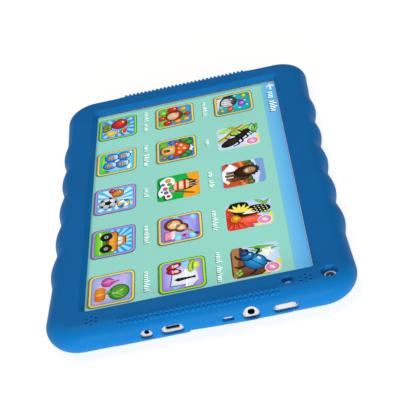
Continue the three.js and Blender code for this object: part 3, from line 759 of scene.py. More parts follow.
def build_usb_socket():
    """A folded steel shell that lines the housing's opening, with a tongue and five contacts in it."""
    low, high = box_mm("micro_usb_socket")
    y, z = (low[1] + high[1]) / 2, (low[2] + high[2]) / 2
    nose_x, nose_z = PORT_FACE_X - 0.08, PORT_Z

    def section(x, half_y, half_z, centre_z):
        corners = [(-half_y, half_z), (-half_y, -0.1), (-half_y + 0.7, -half_z), (half_y - 0.7, -half_z),
                (half_y, -0.1), (half_y, half_z)]
        return across_x(x, curve_corners(np.array(corners), 0.3), y, centre_z)

    def folded(name, *sections):  # each section: x, half its width, half its height, and its middle's z
        return loft(name, [section(*each) for each in sections])

    body = folded("shell", (low[0], 3.95, 1.3, z), (high[0], 3.95, 1.3, z))
    nose = folded("nose", (high[0] - 1, 3.66, 1.06, nose_z), (nose_x - 0.08, 3.66, 1.06, nose_z),
                  (nose_x, 3.6, 1.0, nose_z))
    mouth = folded("mouth", (low[0] + 0.5, 3.42, 0.82, nose_z), (nose_x - 0.1, 3.42, 0.82, nose_z),
                   (nose_x + 0.1, 3.6, 0.98, nose_z))
    shell = cut(cut(body, nose, "UNION"), mouth)
    smooth(shell)
    piece = new_piece("usb_shell", shell, STEEL)
    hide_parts("micro_usb_socket")
    tongue = along_x("tongue", y, nose_z + 0.25, 1.9, 0.3, 0.1,
                     [(high[0] - 2.1, 0), (nose_x - 1.0, 0), (nose_x - 0.85, 0.1)])
    back = folded("back", (high[0] - 2.6, 3.4, 0.8, nose_z), (high[0] - 2.0, 3.4, 0.8, nose_z))
    # Painted shade: a black sleeve inside the steel shell, which stands in for the shade in the socket's
    # mouth.
    shade_sleeve = cut(folded("shade_sleeve", (high[0] - 2.2, 3.38, 0.78, nose_z), (nose_x - 0.35, 3.38, 0.78, nose_z)),
                 folded("hollow", (high[0] - 3, 3.28, 0.68, nose_z), (nose_x, 3.28, 0.68, nose_z)))
    inside = join_meshes("usb_insulator_and_shade_sleeve", [tongue, back, shade_sleeve])
    smooth(inside)
    new_piece("usb_insulator_and_shade_sleeve", inside, BLACK_PLASTIC)
    contacts = [along_x("contact", y + 0.65 * k, nose_z - 0.06, 0.15, 0.03, 0.02,
            [(high[0] - 1.9, 0), (nose_x - 1.2, 0)], 2) for k in range(-2, 3)]
    new_piece("usb_contacts", join_meshes("usb_contacts", contacts), GOLD)


def curve_corners(corners, radius):
    """A polygon with each corner rounded off, counter-clockwise seen from +X."""
    out = []
    count = len(corners)
    for i in range(count):
        here, before, after = corners[i], corners[i - 1], corners[(i + 1) % count]
        a = here + (before - here) / np.linalg.norm(before - here) * radius
        b = here + (after - here) / np.linalg.norm(after - here) * radius
        for t in np.linspace(0, 1, 5):
            out.append((1 - t) ** 2 * a + 2 * t * (1 - t) * here + t**2 * b)
    return np.array(out)


BORE_WALL = 0.12


def build_bore(node, radius):
    """A round socket's black nose, which lines the hole in the housing's wall."""
    x0, x1 = box_mm(node)[1][0] - 3, PORT_FACE_X - 0.05
    y = centre_of(node)[1]
    inner = radius - BORE_WALL
    steps = [(x0, radius), (x1 - 0.08, radius), (x1, radius - 0.08), (x1, inner + 0.1), (x1 - 0.1, inner),
            (x0, inner)]
    sides = 40
    angles = np.linspace(0, 2 * math.pi, sides, endpoint=False)
    points = [(x, y + r * math.cos(a), PORT_Z + r * math.sin(a)) for x, r in steps for a in angles]
    nose = mesh_from(node + "_nose", points, ring_faces(len(steps), sides))
    smooth(nose)
    new_piece(node + "_nose", nose, BLACK_PLASTIC)


def build_lens(name, node, radius, top, down=False):
    """A camera's black hood with a coated glass dome in it."""
    x, y = centre_of(node)
    up = -1 if down else 1
    hood_steps = [(radius, -0.5), (radius, -0.06), (radius - 0.06, 0.0), (radius * 0.72, 0.0),
            (radius * 0.6, -0.22), (radius * 0.2, -0.24)]
    dome_steps = [(radius * 0.62 * math.cos(t), -0.24 + 0.3 * radius * math.sin(t))
            for t in np.radians(np.arange(0, 89, 8))]
    if down:
        hood_steps, dome_steps = hood_steps[::-1], dome_steps[::-1]
    for suffix, steps, material, slot in (("hood", hood_steps, BLACK_PLASTIC, "black_plastic"),
                                          ("dome", dome_steps, LENS_COATING, "screen_glass")):
        mesh = turned(name + suffix, x, y, [(r, top + up * z) for r, z in steps])
        smooth(mesh)
        new_piece(name + "_" + suffix, mesh, material)


PIPE_RADIUS, PIPE_DOME = 0.9, 0.3


def build_light_pipe():
    """The charge light's pipe, with a domed end."""
    low, high = box_mm("led_light_pipe")
    x, y = centre_of("led_light_pipe")
    rim = high[2] - PIPE_DOME
    steps = [(PIPE_RADIUS, low[2]), (PIPE_RADIUS, rim)]
    steps += [(PIPE_RADIUS * math.cos(t), rim + PIPE_DOME * math.sin(t))
            for t in np.radians(np.arange(15, 89, 12))]
    pipe = turned("light_pipe", x, y, steps, 32)
    smooth(pipe)
    piece = new_piece("charge_light", pipe, MILKY_PLASTIC)
    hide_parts("led_light_pipe")


# The printed border's opening, out to the far end, the near end and either side.
BORDER_FAR_X, BORDER_X = -102.0, 99.3
BORDER_LOW_Y, BORDER_HIGH_Y = -59.4, 57.75


def build_printed_border():
    """White ink printed under the cover glass, with the screen's opening in it."""
    top = GLASS_LOW[2] - 0.02
    bottom = top - 0.06
    outer, _ = rounded_outline(GLASS_HIGH[0] - 0.5, GLASS_HIGH[1] - 0.5, 2.2, 6)
    inner_x = np.where(outer[:, 0] < 0, BORDER_FAR_X + 1.0, BORDER_X - 1.0)
    inner_y = np.where(outer[:, 1] > 0, BORDER_HIGH_Y - 1.0, BORDER_LOW_Y + 1.0)
    inner = np.column_stack([inner_x, inner_y]) + rounded_outline(1.0, 1.0, 0.8, 6)[0]
    rings = [at_height(*level) for level in ((outer, bottom), (outer, top), (inner, top), (inner, bottom))]
    border = mesh_from("printed_border", np.concatenate(rings), ring_faces(4, len(outer)))
    new_piece("printed_border", border, WHITE_INK)


build_key("power_key", 2.3, 0.75, 0.74)
build_key("volume_rocker", 5.1, 1.5, 1.49, dots=(-4, 4))
build_usb_socket()
build_bore("headphone_jack", 1.82)
build_bore("dc_power_jack", 1.27)
build_lens("front_lens", "front_camera", 1.8, box_mm("front_camera")[1][2] + 0.1)
build_lens("rear_lens", "rear_camera", 2.5, box_mm("rear_camera")[0][2] - 0.05, down=True)
build_light_pipe()
build_printed_border()


# ---------------------------------------------------------------- the lit picture

SCREEN_X, SCREEN_Y = 98.3, 57.6  # half the lit area
LAYER = 0.005  # each shape lies this far above the one before
THICKNESS = 1.2 * LAYER
PICTURE_Z = GLASS_LOW[2] - 0.4
ICON = 0.127  # an icon is drawn in hundredths of half its width
FRAMED_HEIGHT = 0.955  # a framed icon's height, as a share of its width
SHADOW, INK = "4a6a66", "f4fbf8"  # of the blank words
OUTLINE = 3  # width of the dark line round a ball
PLAIN = (98.5, 20)  # half the width of an icon without a frame, and its corner radius
GOLD_RIM = ("f6cf62", "6b5a2c")
VIOLET_RIM = ("b48fdc", "54406e")


def linear(code, light):
    """A hex colour as linear RGBA, made lighter or darker."""
    values = [int(code[i:i + 2], 16) / 255 for i in (0, 2, 4)]
    return [min(1.0, light * (v / 12.92 if v < 0.04045 else ((v + 0.055) / 1.055) ** 2.4))
            for v in values] + [1.0]


def curve(points, steps=8, closed=False):
    """A smooth line through given points."""
    points = np.array(points, float)
    count = len(points)
    spans = count if closed else count - 1
    out = []
    for i in range(spans):
        if closed:
            a, b, c, d = (points[(i + k) % count] for k in (-1, 0, 1, 2))
        else:
            a, b, c, d = (points[min(max(i + k, 0), count - 1)] for k in (-1, 0, 1, 2))
        for t in np.arange(steps) / steps:
            bend, twist = 2 * a - 5 * b + 4 * c - d, 3 * b - a - 3 * c + d
            out.append(0.5 * (2 * b + (c - a) * t + bend * t**2 + twist * t**3))
    if not closed:
        out.append(points[-1])
    return np.array(out)


def placed(u, v, x, y, degrees):
    """Points turned about the origin and then moved to x, y."""
    c, s = math.cos(math.radians(degrees)), math.sin(math.radians(degrees))
    return np.column_stack([x + c * u - s * v, y + s * u + c * v])


def pairs(numbers):
    """Points from x, y, x, y ..."""
    return np.array(numbers, float).reshape(-1, 2)


def oval(x, y, rx, ry=None, turn=0, steps=26, start=0, stop=360):
    ry = rx if ry is None else ry
    angles = np.radians(np.linspace(start, stop, steps, endpoint=stop - start < 360))
    return placed(rx * np.cos(angles), ry * np.sin(angles), x, y, turn)


def tile(x, y, half_x, half_y, radius, turn=0):
    return placed(*rounded_outline(half_x, half_y, radius, 5)[0].T, x, y, turn)


def confined(points, half, radius):
    """Points moved inside a round-cornered square, without those that then coincide."""
    points = np.clip(points, -half, half)
    past = np.abs(points) - (half - radius)
    in_corner = past.min(1) > 0
    pull = np.minimum(1.0, radius / np.maximum(np.linalg.norm(past, axis=1), 1e-9))
    rounded = np.sign(points) * (half - radius + past * pull[:, None])
    points = np.where(in_corner[:, None], rounded, points)
    return points[np.linalg.norm(points - np.roll(points, 1, axis=0), axis=1) > 0.01]


def ribbon(points, start_width, end_width):
    """The outline of a line that may taper."""
    points = np.array(points, float)
    end_width = start_width if end_width is None else end_width
    along = np.gradient(points, axis=0)
    side = np.column_stack([-along[:, 1], along[:, 0]]) / np.linalg.norm(along, axis=1)[:, None]
    half = np.linspace(start_width, end_width, len(points))[:, None] / 2
    return np.concatenate([points - side * half, (points + side * half)[::-1]])


class Canvas:
    """Thin coloured shapes in stacked layers, drawn in a frame of their own on the screen.

    A shape's look is what fill takes after the outline: an edge colour and, where wanted, a middle colour,
    the middle's place and the light.
    """

    def __init__(self, x=0.0, y=0.0, scale=1.0, base=0):
        self.x, self.y, self.scale, self.layer = x, y, np.array([scale, scale]), base
        self.edge = None
        self.points, self.faces, self.colours = [], [], []

    def fill(self, outline, colour, middle=None, focus=None, light=1.0):
        """One shape. With a middle colour, it shades from its focus out to its edge."""
        outline = np.array(outline, float)
        if self.edge:
            outline = confined(outline, *self.edge)
        area = np.sum(outline[:, 0] * np.roll(outline[:, 1], -1) - outline[:, 1] * np.roll(outline[:, 0], -1))
        if area < 0:
            outline = outline[::-1]
        self.layer += 1
        top = PICTURE_Z + LAYER * self.layer
        flat = outline * self.scale + (self.x, self.y)
        first, count = len(self.points), len(flat)
        self.points += [(*p, top) for p in flat] + [(*p, top - THICKNESS) for p in flat]
        edge = linear(colour, light)
        centre = None
        if middle:
            centre = len(self.points)
            at = (outline.mean(0) if focus is None else np.array(focus)) * self.scale + (self.x, self.y)
            self.points.append((*at, top))
        for i in range(count):
            j = (i + 1) % count
            self.faces.append((first + count + i, first + count + j, first + j, first + i))
            self.colours += [edge] * 4
            if middle:
                self.faces.append((first + i, first + j, centre))
                self.colours += [edge, edge, linear(middle, light)]
        if not middle:
            self.faces.append(tuple(range(first, first + count)))
            self.colours += [edge] * count
        self.faces.append(tuple(reversed(range(first + count, first + 2 * count))))
        self.colours += [edge] * count

    def stroke(self, points, width, colour, end_width=None):
        self.fill(ribbon(points, width, end_width), colour)

    def shape(self, numbers, *look):
        """A straight-sided shape."""
        self.fill(pairs(numbers), *look)

    def blob(self, numbers, *look, steps=6):
        """A shape with a smooth outline."""
        self.fill(curve(pairs(numbers), steps, True), *look)

    def line(self, numbers, width, colour, end_width=None, steps=8):
        """A smooth stroke."""
        self.stroke(curve(pairs(numbers), steps), width, colour, end_width)

    def oval(self, x, y, rx, ry, *look, turn=0, steps=26):
        self.fill(oval(x, y, rx, ry, turn, steps), *look)

    def dot(self, x, y, radius, *look, steps=26):
        self.fill(oval(x, y, radius, steps=steps), *look)

    def slab(self, x, y, half_x, half_y, radius, *look):
        self.fill(tile(x, y, half_x, half_y, radius), *look)

    def ground(self, half, radius, colour, middle=None):
        """The icon's own tile, which the shapes after it are kept inside."""
        self.fill(tile(0, 0, half, half, radius), colour, middle)
        self.edge = (half, radius)

    def dull_ball(self, x, y, r, colour, middle, ry=None, turn=0):
        """A round thing with a dark outline, lit from its upper left."""
        ry = ry or r
        self.oval(x, y, r + OUTLINE, ry + OUTLINE, colour, None, None, 0.25, turn=turn)
        self.oval(x, y, r, ry, colour, middle, (x - 0.3 * r, y + 0.3 * ry), turn=turn)

    def ball(self, x, y, r, colour, middle, ry=None, turn=0):
        """The same with a gleam on it."""
        self.dull_ball(x, y, r, colour, middle, ry, turn)
        gleam_y = y + 0.42 * (ry or r)
        self.oval(x - 0.36 * r, gleam_y, 0.2 * r, 0.13 * (ry or r), "ffffff", None, None, 0.85, turn=35,
                steps=12)

    def leaf(self, x, y, length, width, turn, colour, middle=None):
        """A pointed leaf that grows from x, y in a direction given in degrees."""
        t = np.linspace(0, 1, 9)
        bulge = width * np.sin(np.pi * t) ** 0.8 / 2
        along = np.concatenate([t, t[::-1][1:-1]]) * length
        across = np.concatenate([-bulge, bulge[::-1][1:-1]])
        self.fill(placed(along, across, x, y, turn), colour, middle)

    def rays(self, colours, count=14):
        """A sunburst that fills the icon's ground."""
        reach = 86
        self.fill(tile(0, 0, reach, reach, 16), colours[0])
        for i in range(count):
            a, b = (2 * math.pi * (i + k) / count for k in (0.0, 0.5))
            rim = [reach / max(abs(math.cos(t)), abs(math.sin(t))) * 0.97 for t in (a, b)]
            self.fill([(0, 0), (rim[0] * math.cos(a), rim[0] * math.sin(a)),
                       (rim[1] * math.cos(b), rim[1] * math.sin(b))], colours[1])

    def frame(self, rim, dark, ground, sky=None):
        """A raised picture frame round the icon's ground."""
        self.scale[1] *= FRAMED_HEIGHT
        self.slab(2, -3, 104, 104, 27, "5f8d83")
        self.slab(0, 0, 102, 102, 26, dark)
        self.slab(0, 0, 98.5, 98.5, 24, rim)
        self.fill(tile(-1, 1.5, 95, 94.5, 22), rim, light=1.25)
        self.slab(0, 0, 89.5, 89.5, 19, dark)
        self.ground(87, 17, ground, sky)

    def badge(self):
        """A yellow corner with a pink disc."""
        self.shape((10, 98.5, 55, 98.5, 98.5, 98.5, 98.5, 20, 80, 42, 50, 75), "ffe22e")
        self.dot(65, 64, 31, "fff3f8")
        self.dot(65, 64, 27, "ee6fae", "ffb4d6")
        self.leaf(52, 54, 30, 13, 38, "ffffff")

    def mesh(self, name):
        made = mesh_from(name, self.points, self.faces)
        layer = made.color_attributes.new("picture", "FLOAT_COLOR", "CORNER")
        layer.data.foreach_set("color", np.array(self.colours, np.float32).ravel())
        return made


def undersea(c):
    c.frame(*GOLD_RIM, "07a0b4", "2fd6dc")
    c.blob((-86, -50, -40, -72, 10, -76, 50, -86, -80, -86), "e6d3dc", "fff4f4", steps=5)
    for x, y in ((-20, 20), (55, 30), (20, -66), (72, -10), (-10, 62), (36, 70), (-72, 12)):
        c.dot(x, y, 6, "b8f6f4", "ffffff", steps=12)
    for x, height in ((-78, 50), (80, 50)):
        c.line((x, -85, x + 8, -85 + height / 2, x - 4, -85 + height), 12, "158a3a", 3)
    c.shape((-60, -20, -86, 10, -80, -56), "23292c")
    c.ball(-22, -26, 50, "262c30", "6d777c", 44)
    c.oval(-16, -38, 40, 27, "c9d0d2", "ffffff")
    for x in (-40, -20, 0):
        c.line((x, 12, x + 7, -25, x - 2, -60), 7, "22282b", 3)
    c.dot(12, -16, 9, "ffffff")
    c.dot(13, -16, 4.5, "050607")
    c.leaf(-30, 10, 44, 26, 60, "30373b", "79848a")
    for x, y, r, dark, pale in ((16, 42, 24, "8a2fc0", "dd9cff"), (-56, 58, 18, "8fc40f", "e8ff6a"),
            (56, -20, 20, "e02f0a", "ff9a4a"), (60, -62, 12, "e0ab00", "fff36a")):
        c.fill([(x - 0.7 * r, y), (x - 1.7 * r, y + 0.7 * r), (x - 1.7 * r, y - 0.7 * r)], dark)
        c.ball(x, y, r, dark, pale, 0.7 * r)
        c.dot(x + 0.5 * r, y + 0.12 * r, 0.14 * r, "050607", steps=8)


def ant(c):
    c.ground(*PLAIN, "cfe0fa", "f6fbff")
    for x, y, size, turn, colour in ((-95, 75, 90, -50, "55a81c"), (-98, -50, 90, 62, "7fc62f"),
            (-95, 95, 100, -14, "3f8f1a"), (-50, -95, 80, 118, "9ad84a"), (-10, 0, 50, -150, "6fbf2a")):
        c.leaf(x, y, size, 36, turn, colour, "b6ee6a")
    c.line((-98, 42, -50, -20, -10, -52, 24, -98), 32, "968a1f", 26)
    c.line((-98, 48, -50, -12, -10, -46, 26, -94), 14, "e6da5a", 10)
    c.line((-98, -30, -60, -14, -40, -24), 20, "b3a53a", 14)
    c.line((-98, 72, -62, 86, -30, 78), 8, "2f7d1a", 4)
    black, gleam = "040302", "2c221b"
    for leg in ((-20, 30, -48, 10, -64, 0), (-5, 12, -16, -28, -34, -34), (15, -10, 8, -48, -6, -60),
            (-10, 35, 20, 46, 34, 20), (15, 10, 50, 20, 62, 0), (30, -8, 68, 0, 82, -28)):
        c.line(leg, 12, black, 6, steps=6)
    for feeler in ((-35, 42, -15, 78, 0, 90), (-30, 40, 5, 66, 10, 44)):
        c.line(feeler, 7, black, 4, steps=6)
    c.dull_ball(-30, 38, 24, black, gleam, 18, -40)
    c.dull_ball(2, 10, 30, black, gleam, 20, -45)
    c.dull_ball(42, -38, 50, black, gleam, 27, -55)
    for t in (0.2, 0.38, 0.56):
        c.stroke([(12 + t * 45, 4 - t * 80), (46 + t * 40, -t * 72)], 3, "4a3a30")
    c.badge()


def grassland(c):
    c.ground(*PLAIN, "7fa8e0")
    c.shape((-98.5, 10, 98.5, 10, 98.5, 62, 20, 76, -98.5, 56), "d3e4fa")
    for x, y, r in ((-80, 20, 28), (-50, 30, 32), (-20, 16, 22), (50, 20, 26), (80, 30, 22)):
        c.dull_ball(x, y, r, "3c4c14", "8a8f35", 0.7 * r)
    c.shape((-98.5, 10, 98.5, 16, 98.5, -98.5, -98.5, -98.5), "d9500f")
    c.line((-98, -10, -40, -2, 30, -14, 98, 0), 10, "f5914a", 16)
    c.line((-98, -75, -50, -45, -36, -20), 10, "5a2408", 5)
    c.shape((-95, -55, -30, -10, 72, -72, 35, -95, -35, -95), "ffffff")
    mane, coat = "170d06", "8f6238"
    c.dull_ball(12, -5, 44, "2f1d10", "8a6038", 38)
    for x, y in ((-18, -50), (6, -56), (34, -52), (48, -42)):
        c.slab(x, y, 10, 26, 9, "2f1d10")
        c.slab(x, y, 7, 24, 7, "6b4828")
        c.oval(x - 3, y - 22, 12, 6, coat, steps=12)
    c.line((50, 5, 72, 0, 76, -25), 7, "4a2f18", 3)
    c.dull_ball(-10, 10, 42, mane, "4a3018", 50)
    for i in range(14):
        a = math.radians(i * 360 / 14)
        c.leaf(-12 + 26 * math.cos(a), 30 + 26 * math.sin(a), 22, 17, math.degrees(a), "2c1a0c")
    c.dull_ball(-12, 30, 26, coat, "e0b880", 29)
    c.oval(-12, 20, 13, 10, "f2dcb8", steps=14)
    c.oval(-12, 25, 6, 4, "140a06", steps=10)
    for x in (-22, -2):
        c.dot(x, 37, 4, "0a0503", steps=8)


def butterfly(c):
    c.ground(*PLAIN, "bcd6f5", "e4f0fc")
    for x, y, size, turn in ((-90, 95, 80, -38), (-98, 30, 60, 50), (-98, -80, 50, 60), (10, 98, 50, -100)):
        c.leaf(x, y, size, 20, turn, "4fa83c", "9ad87f")
    for i in range(18):
        c.leaf(16, -58, 120 if i < 12 else 95, 40, 20 * i - 100, "d8301c", "ff6a4a")
    for i in range(18):
        c.leaf(16, -58, 80, 6, 20 * i - 90, "b3200f")
    c.blob((34, -50, 20, -10, 30, 50, 60, 40, 62, -20), "ff4a2a", "ff8a6a")
    c.dull_ball(20, -58, 26, "e08a00", "ffdc2e", 22)
    for i in range(10):
        a = math.radians(36 * i)
        c.dot(20 + 16 * math.cos(a), -58 + 14 * math.sin(a), 3.5, "a85a00", steps=6)
    black, yellow, cream = "080604", "ffe11a", "fff4c0"
    c.blob((6, -45, -42, -20, -56, 30, -42, 82, -10, 94, 6, 55, 14, 0), black)
    c.blob((0, -35, -36, 2, -82, -2, -97, -40, -84, -80, -36, -78), black)
    for i in range(6):
        c.leaf(-20, -40, 64, 16, 100 + 26 * i, yellow, "fff68a")
    for i in range(3):
        c.leaf(-2, -30, 72 - 10 * i, 10, 90 + 13 * i, cream, "ffffff")
    for i in range(4):
        for k in range(4):
            c.dot(-42 + 15 * i, 28 + 15 * k + 4 * i, 3.5, cream, steps=8)
    c.line((10, 10, 2, -30, -10, -62), 13, "1a120a", 7)
    c.badge()


def beetle(c):
    c.ground(*PLAIN, "c6dcf7", "f2f8ff")
    for x, y, size, turn in ((-90, -30, 120, 82), (-75, -20, 100, 60), (-95, 10, 90, 40), (-50, 10, 90, 98)):
        c.leaf(x, y, size, 16, turn, "3f9a1f", "9be05a")
    for turn in range(0, 360, 72):
        c.leaf(-42, 50, 30, 18, turn, "ffffff", "fbf3c8")
    c.blob((98, 50, 55, 70, 20, 10, -20, -35, -98, -50, -95, -95, 95, -97), "5a2f12", "a2622f")
    c.shape((-98.5, -60, 10, -72, 98.5, -80, 98.5, -98.5, -98.5, -98.5), "b8794a")
    for x, y in ((62, -78), (78, -70), (70, -62), (52, -66)):
        c.dot(x, y, 8, "5fb028", "b8f06a", steps=10)
    leg = "04182c"
    for path in ((-30, 0, -62, 20, -78, 2), (-35, -30, -75, -30, -80, -60), (-10, -40, -30, -72, -50, -80),
            (20, -30, 32, -66, 22, -88), (40, 0, 72, -6, 84, -30), (10, 35, 40, 66, 70, 70)):
        c.line(path, 14, leg, 7, steps=6)
    c.ball(10, -2, 54, "075a9c", "38bdff", 42, 35)
    c.line((-26, -32, 12, 0, 46, 30), 3.5, leg)
    c.line((-28, 16, -12, -8, -2, -36), 4, leg)
    c.ball(-34, -30, 24, "06467f", "2fa4e8", 28, 35)
    c.dull_ball(-54, -42, 15, "04213f", "1f6fc0", 17, 35)
    c.badge()


def fruit_ring(c):
    c.frame(*GOLD_RIM, "1797ee", "6fd8ff")
    c.shape((-87, -36, -20, -26, 87, -45, 87, -87, -87, -87), "5cc414", "b0f04a")
    for turn in range(0, 360, 36):
        c.leaf(30 * math.cos(math.radians(turn)), 30 * math.sin(math.radians(turn)), 46, 28, turn, "1f8a17",
                "7fd63a")
    for x, y, r, dark, pale in ((-55, 46, 17, "e09a00", "ffe03a"), (50, 60, 16, "e09a00", "ffe03a"),
            (0, 66, 15, "b8000c", "ff3a30"), (60, 14, 20, "e87400", "ffc23a"),
            (-62, -10, 27, "b8000c", "ff3a30"), (62, -40, 20, "b8000c", "ff3a30"),
            (-42, -62, 18, "6fb400", "dcfa4a"), (10, -70, 20, "c4101a", "ff4a3a")):
        c.ball(x, y, r, dark, pale)
    c.ball(0, -4, 46, "7a1a08", "c84a1a", 44)
    c.dull_ball(4, -10, 33, "e8b07a", "fff4dc", 30)
    for k in range(4):
        c.line((-14 + 12 * k, 10, -10 + 12 * k, -10, -14 + 12 * k, -28), 2.5, "a8592c")
    c.line((0, 30, 5, 46, 16, 52), 7, "4a2408", 4)


def mushroom(c):
    c.frame(*GOLD_RIM, "1b80e0", "8fd4ff")
    for x, y, r in ((10, 74, 12), (30, 70, 10), (-5, 70, 9)):
        c.dot(x, y, r, "ffffff", steps=14)
    for x, y, r in ((-66, 46, 30), (-44, 64, 24), (50, 50, 26), (70, 36, 22)):
        c.dull_ball(x, y, r, "0b6b22", "3fc04a")
    c.slab(-60, 12, 5, 20, 3, "55300f")
    c.slab(62, 8, 5, 20, 3, "55300f")
    c.shape((-87, -50, -30, -40, 30, -48, 87, -38, 87, -87, -87, -87), "41b80c", "a4f23a")
    for x, y, r in ((-66, -20, 16), (64, -26, 19)):
        c.dull_ball(x, y, r, "0f5cb0", "4fb0f0")
    stalk = curve(pairs((-32, 0, -42, -45, -26, -74, 26, -74, 44, -45, 32, 0)), 6, True)
    c.fill(stalk * 1.07, "3f2206")
    c.fill(stalk, "cf8a1f", "fff0a8")
    c.slab(2, -48, 12, 17, 10, "6b3408")
    c.dot(6, -50, 2.5, "ffd86a", steps=8)
    cap = curve(pairs((-62, -5, -50, 32, -10, 66, 20, 60, 56, 22, 68, -16, 10, -6)), 7, True)
    c.fill(cap * 1.06, "4a0c04")
    c.fill(cap, "c4260a", "ff7a3a", (-10, 40))
    for x, y, r in ((-30, 24, 10), (6, 42, 9), (34, 16, 10), (-2, 12, 7), (-48, 2, 5)):
        c.oval(x, y, r, 0.8 * r, "ffd9a0", steps=14)
    c.dull_ball(64, -62, 12, "9c2fa0", "f08ae8")


def palette(c):
    c.ground(*PLAIN, "00b03a", "10c44a")
    c.shape((-98.5, 42, -30, 62, 40, 30, 98.5, 20, 98.5, 80, 80, 98.5, -80, 98.5, -98.5, 80), "ffa400",
            "ffbb22")
    c.dull_ball(-8, 36, 40, "2a1206", "5a2c10", 42)
    c.slab(-8, 14, 37, 39, 16, "2a1206")
    c.slab(-8, 14, 34, 36, 14, "ffc490", "ffe8cc")
    c.slab(-8, 30, 35, 6, 5, "c4200c")
    c.slab(-8, -2, 35, 5, 4, "c4200c")
    for x, tip, colour in ((-26, 86, "b0472a"), (-4, 94, "5d8fd0"), (14, 84, "8f3fa0")):
        c.stroke([(x * 0.7 - 2, 42), (x, tip - 16)], 6, "e9c48a")
        c.leaf(x, tip - 20, 24, 12, 90, colour)
    c.stroke([(28, -30), (74, 72)], 13, "8a3a1f", 10)
    c.stroke([(22, -42), (34, -16)], 15, "d9a0a8")
    c.leaf(28, -28, 40, 20, -115, "e34f7c")
    blank = pairs((-90, -50, -72, -20, -35, -16, -10, -42, 20, -44, 50, -34, 80, -30, 86, -56, 50, -66, 60,
            -86, 20, -92, -20, -78, -60, -84))
    c.fill(curve(blank * 1.04 + (3, -4), 5, True), "04401a")
    c.fill(curve(blank, 5, True), "ffffff")
    for x, y, r, colour in ((-62, -46, 13, "f4a51d"), (-30, -40, 10, "37a34a"), (2, -60, 11, "e0508a"),
            (34, -56, 10, "8b4db5"), (-34, -70, 8, "2f86d8"), (66, -46, 8, "d8332a")):
        c.ball(x, y, r, colour, colour, 0.8 * r)
    c.oval(22, -76, 9, 6, "13994a", steps=12)


def music(c):
    c.frame(*GOLD_RIM, "8577ee", "c4dcff")
    for x, y in ((-62, 60), (64, 56), (70, -10), (-70, -20)):
        c.oval(x, y, 24, 16, "5fd8f5", "b8f4ff", steps=16)
    c.line((-80, 20, -20, 70, 80, 10), 16, "b79cf0", 8)
    c.stroke([(-10, 0), (50, 68)], 16, "7a4522", 12)
    c.fill(tile(57, 74, 12, 8, 3, 48), "5d3217")
    for x, y, r in ((-32, -30, 42), (-2, 6, 30)):
        c.dull_ball(x, y, r, "6b2a08", "c4601a")
    for x, y, r in ((-30, -28, 30), (-3, 5, 20)):
        c.dot(x, y, r, "f0ab5f", "ffedc8")
    c.dot(-16, -10, 11, "4d2a14", steps=18)
    for shift in (-3.5, 0, 3.5):
        c.stroke([(-42 + shift, -42 - shift), (50 + shift, 68 - shift)], 1.2, "f4efe2")
    c.stroke([(-52, -36), (-34, -54)], 6, "4d2a14")
    c.slab(45, -52, 33, 23, 6, "6b1f38")
    c.slab(45, -52, 30, 20, 5, "f27f9f", "ffc8d4")
    c.oval(45, -34, 30, 10, "ffe9ee", steps=22)
    for x in (25, 45, 65):
        c.stroke([(x - 10, -40), (x, -68), (x + 10, -40)], 2.5, "b8405f")
    star = [(math.pi * k / 5, 7 if k % 2 else 17) for k in range(10)]
    c.fill([(58 + r * math.sin(a), 18 + r * math.cos(a)) for a, r in star], "c8202c")


def clothes(c):
    c.frame("9be02a", "3f5a22", "a883ee", "e4fbff")
    c.line((-80, 10, -10, 50, 50, 10, 80, -40), 34, "8fdcfa", 14)
    shirt = pairs((0, 62, -34, 44, -30, 6, -12, 14, -10, -42, 62, -50, 66, 20, 82, 12, 80, 42, 48, 68))
    c.fill([(1.05 * x + 2, 1.05 * y - 3) for x, y in shirt], "5a4f8a")
    c.fill(shirt, "eef2fb", "ffffff", (25, 20))
    c.shape((0, 64, 12, 42, 26, 56), "f7f8fc")
    c.shape((50, 68, 38, 42, 26, 56), "eef0f7")
    c.stroke([(64, 20), (60, -45)], 2, "b9bed0")
    c.shape((17, 56, 35, 56, 32, 42, 40, -20, 27, -36, 18, -20, 22, 42), "0a0c18")
    for k in range(4):
        c.stroke([(20, 30 - 14 * k), (34, 36 - 14 * k)], 2, "5a6388")
    c.oval(-46, 42, 39, 17, "5a6408", turn=-10)
    c.oval(-46, 42, 36, 14, "b4cf0f", "f2fa4a", turn=-10)
    c.blob((-70, 44, -66, 70, -42, 76, -24, 62, -24, 40), "c4dc14", "faff5a")
    c.line((-70, 50, -46, 46, -23, 46), 8, "4f9c3c")
    for x, turn in ((-62, 20), (-26, -14)):
        c.ball(x, -36, 16, "960a2a", "f04468", 32, turn)
        c.oval(x, -26, 8, 12, "f6dbe0", turn=turn, steps=16)
        c.stroke([(x - 10, -42), (x + 10, -40)], 4, "fff4f6")


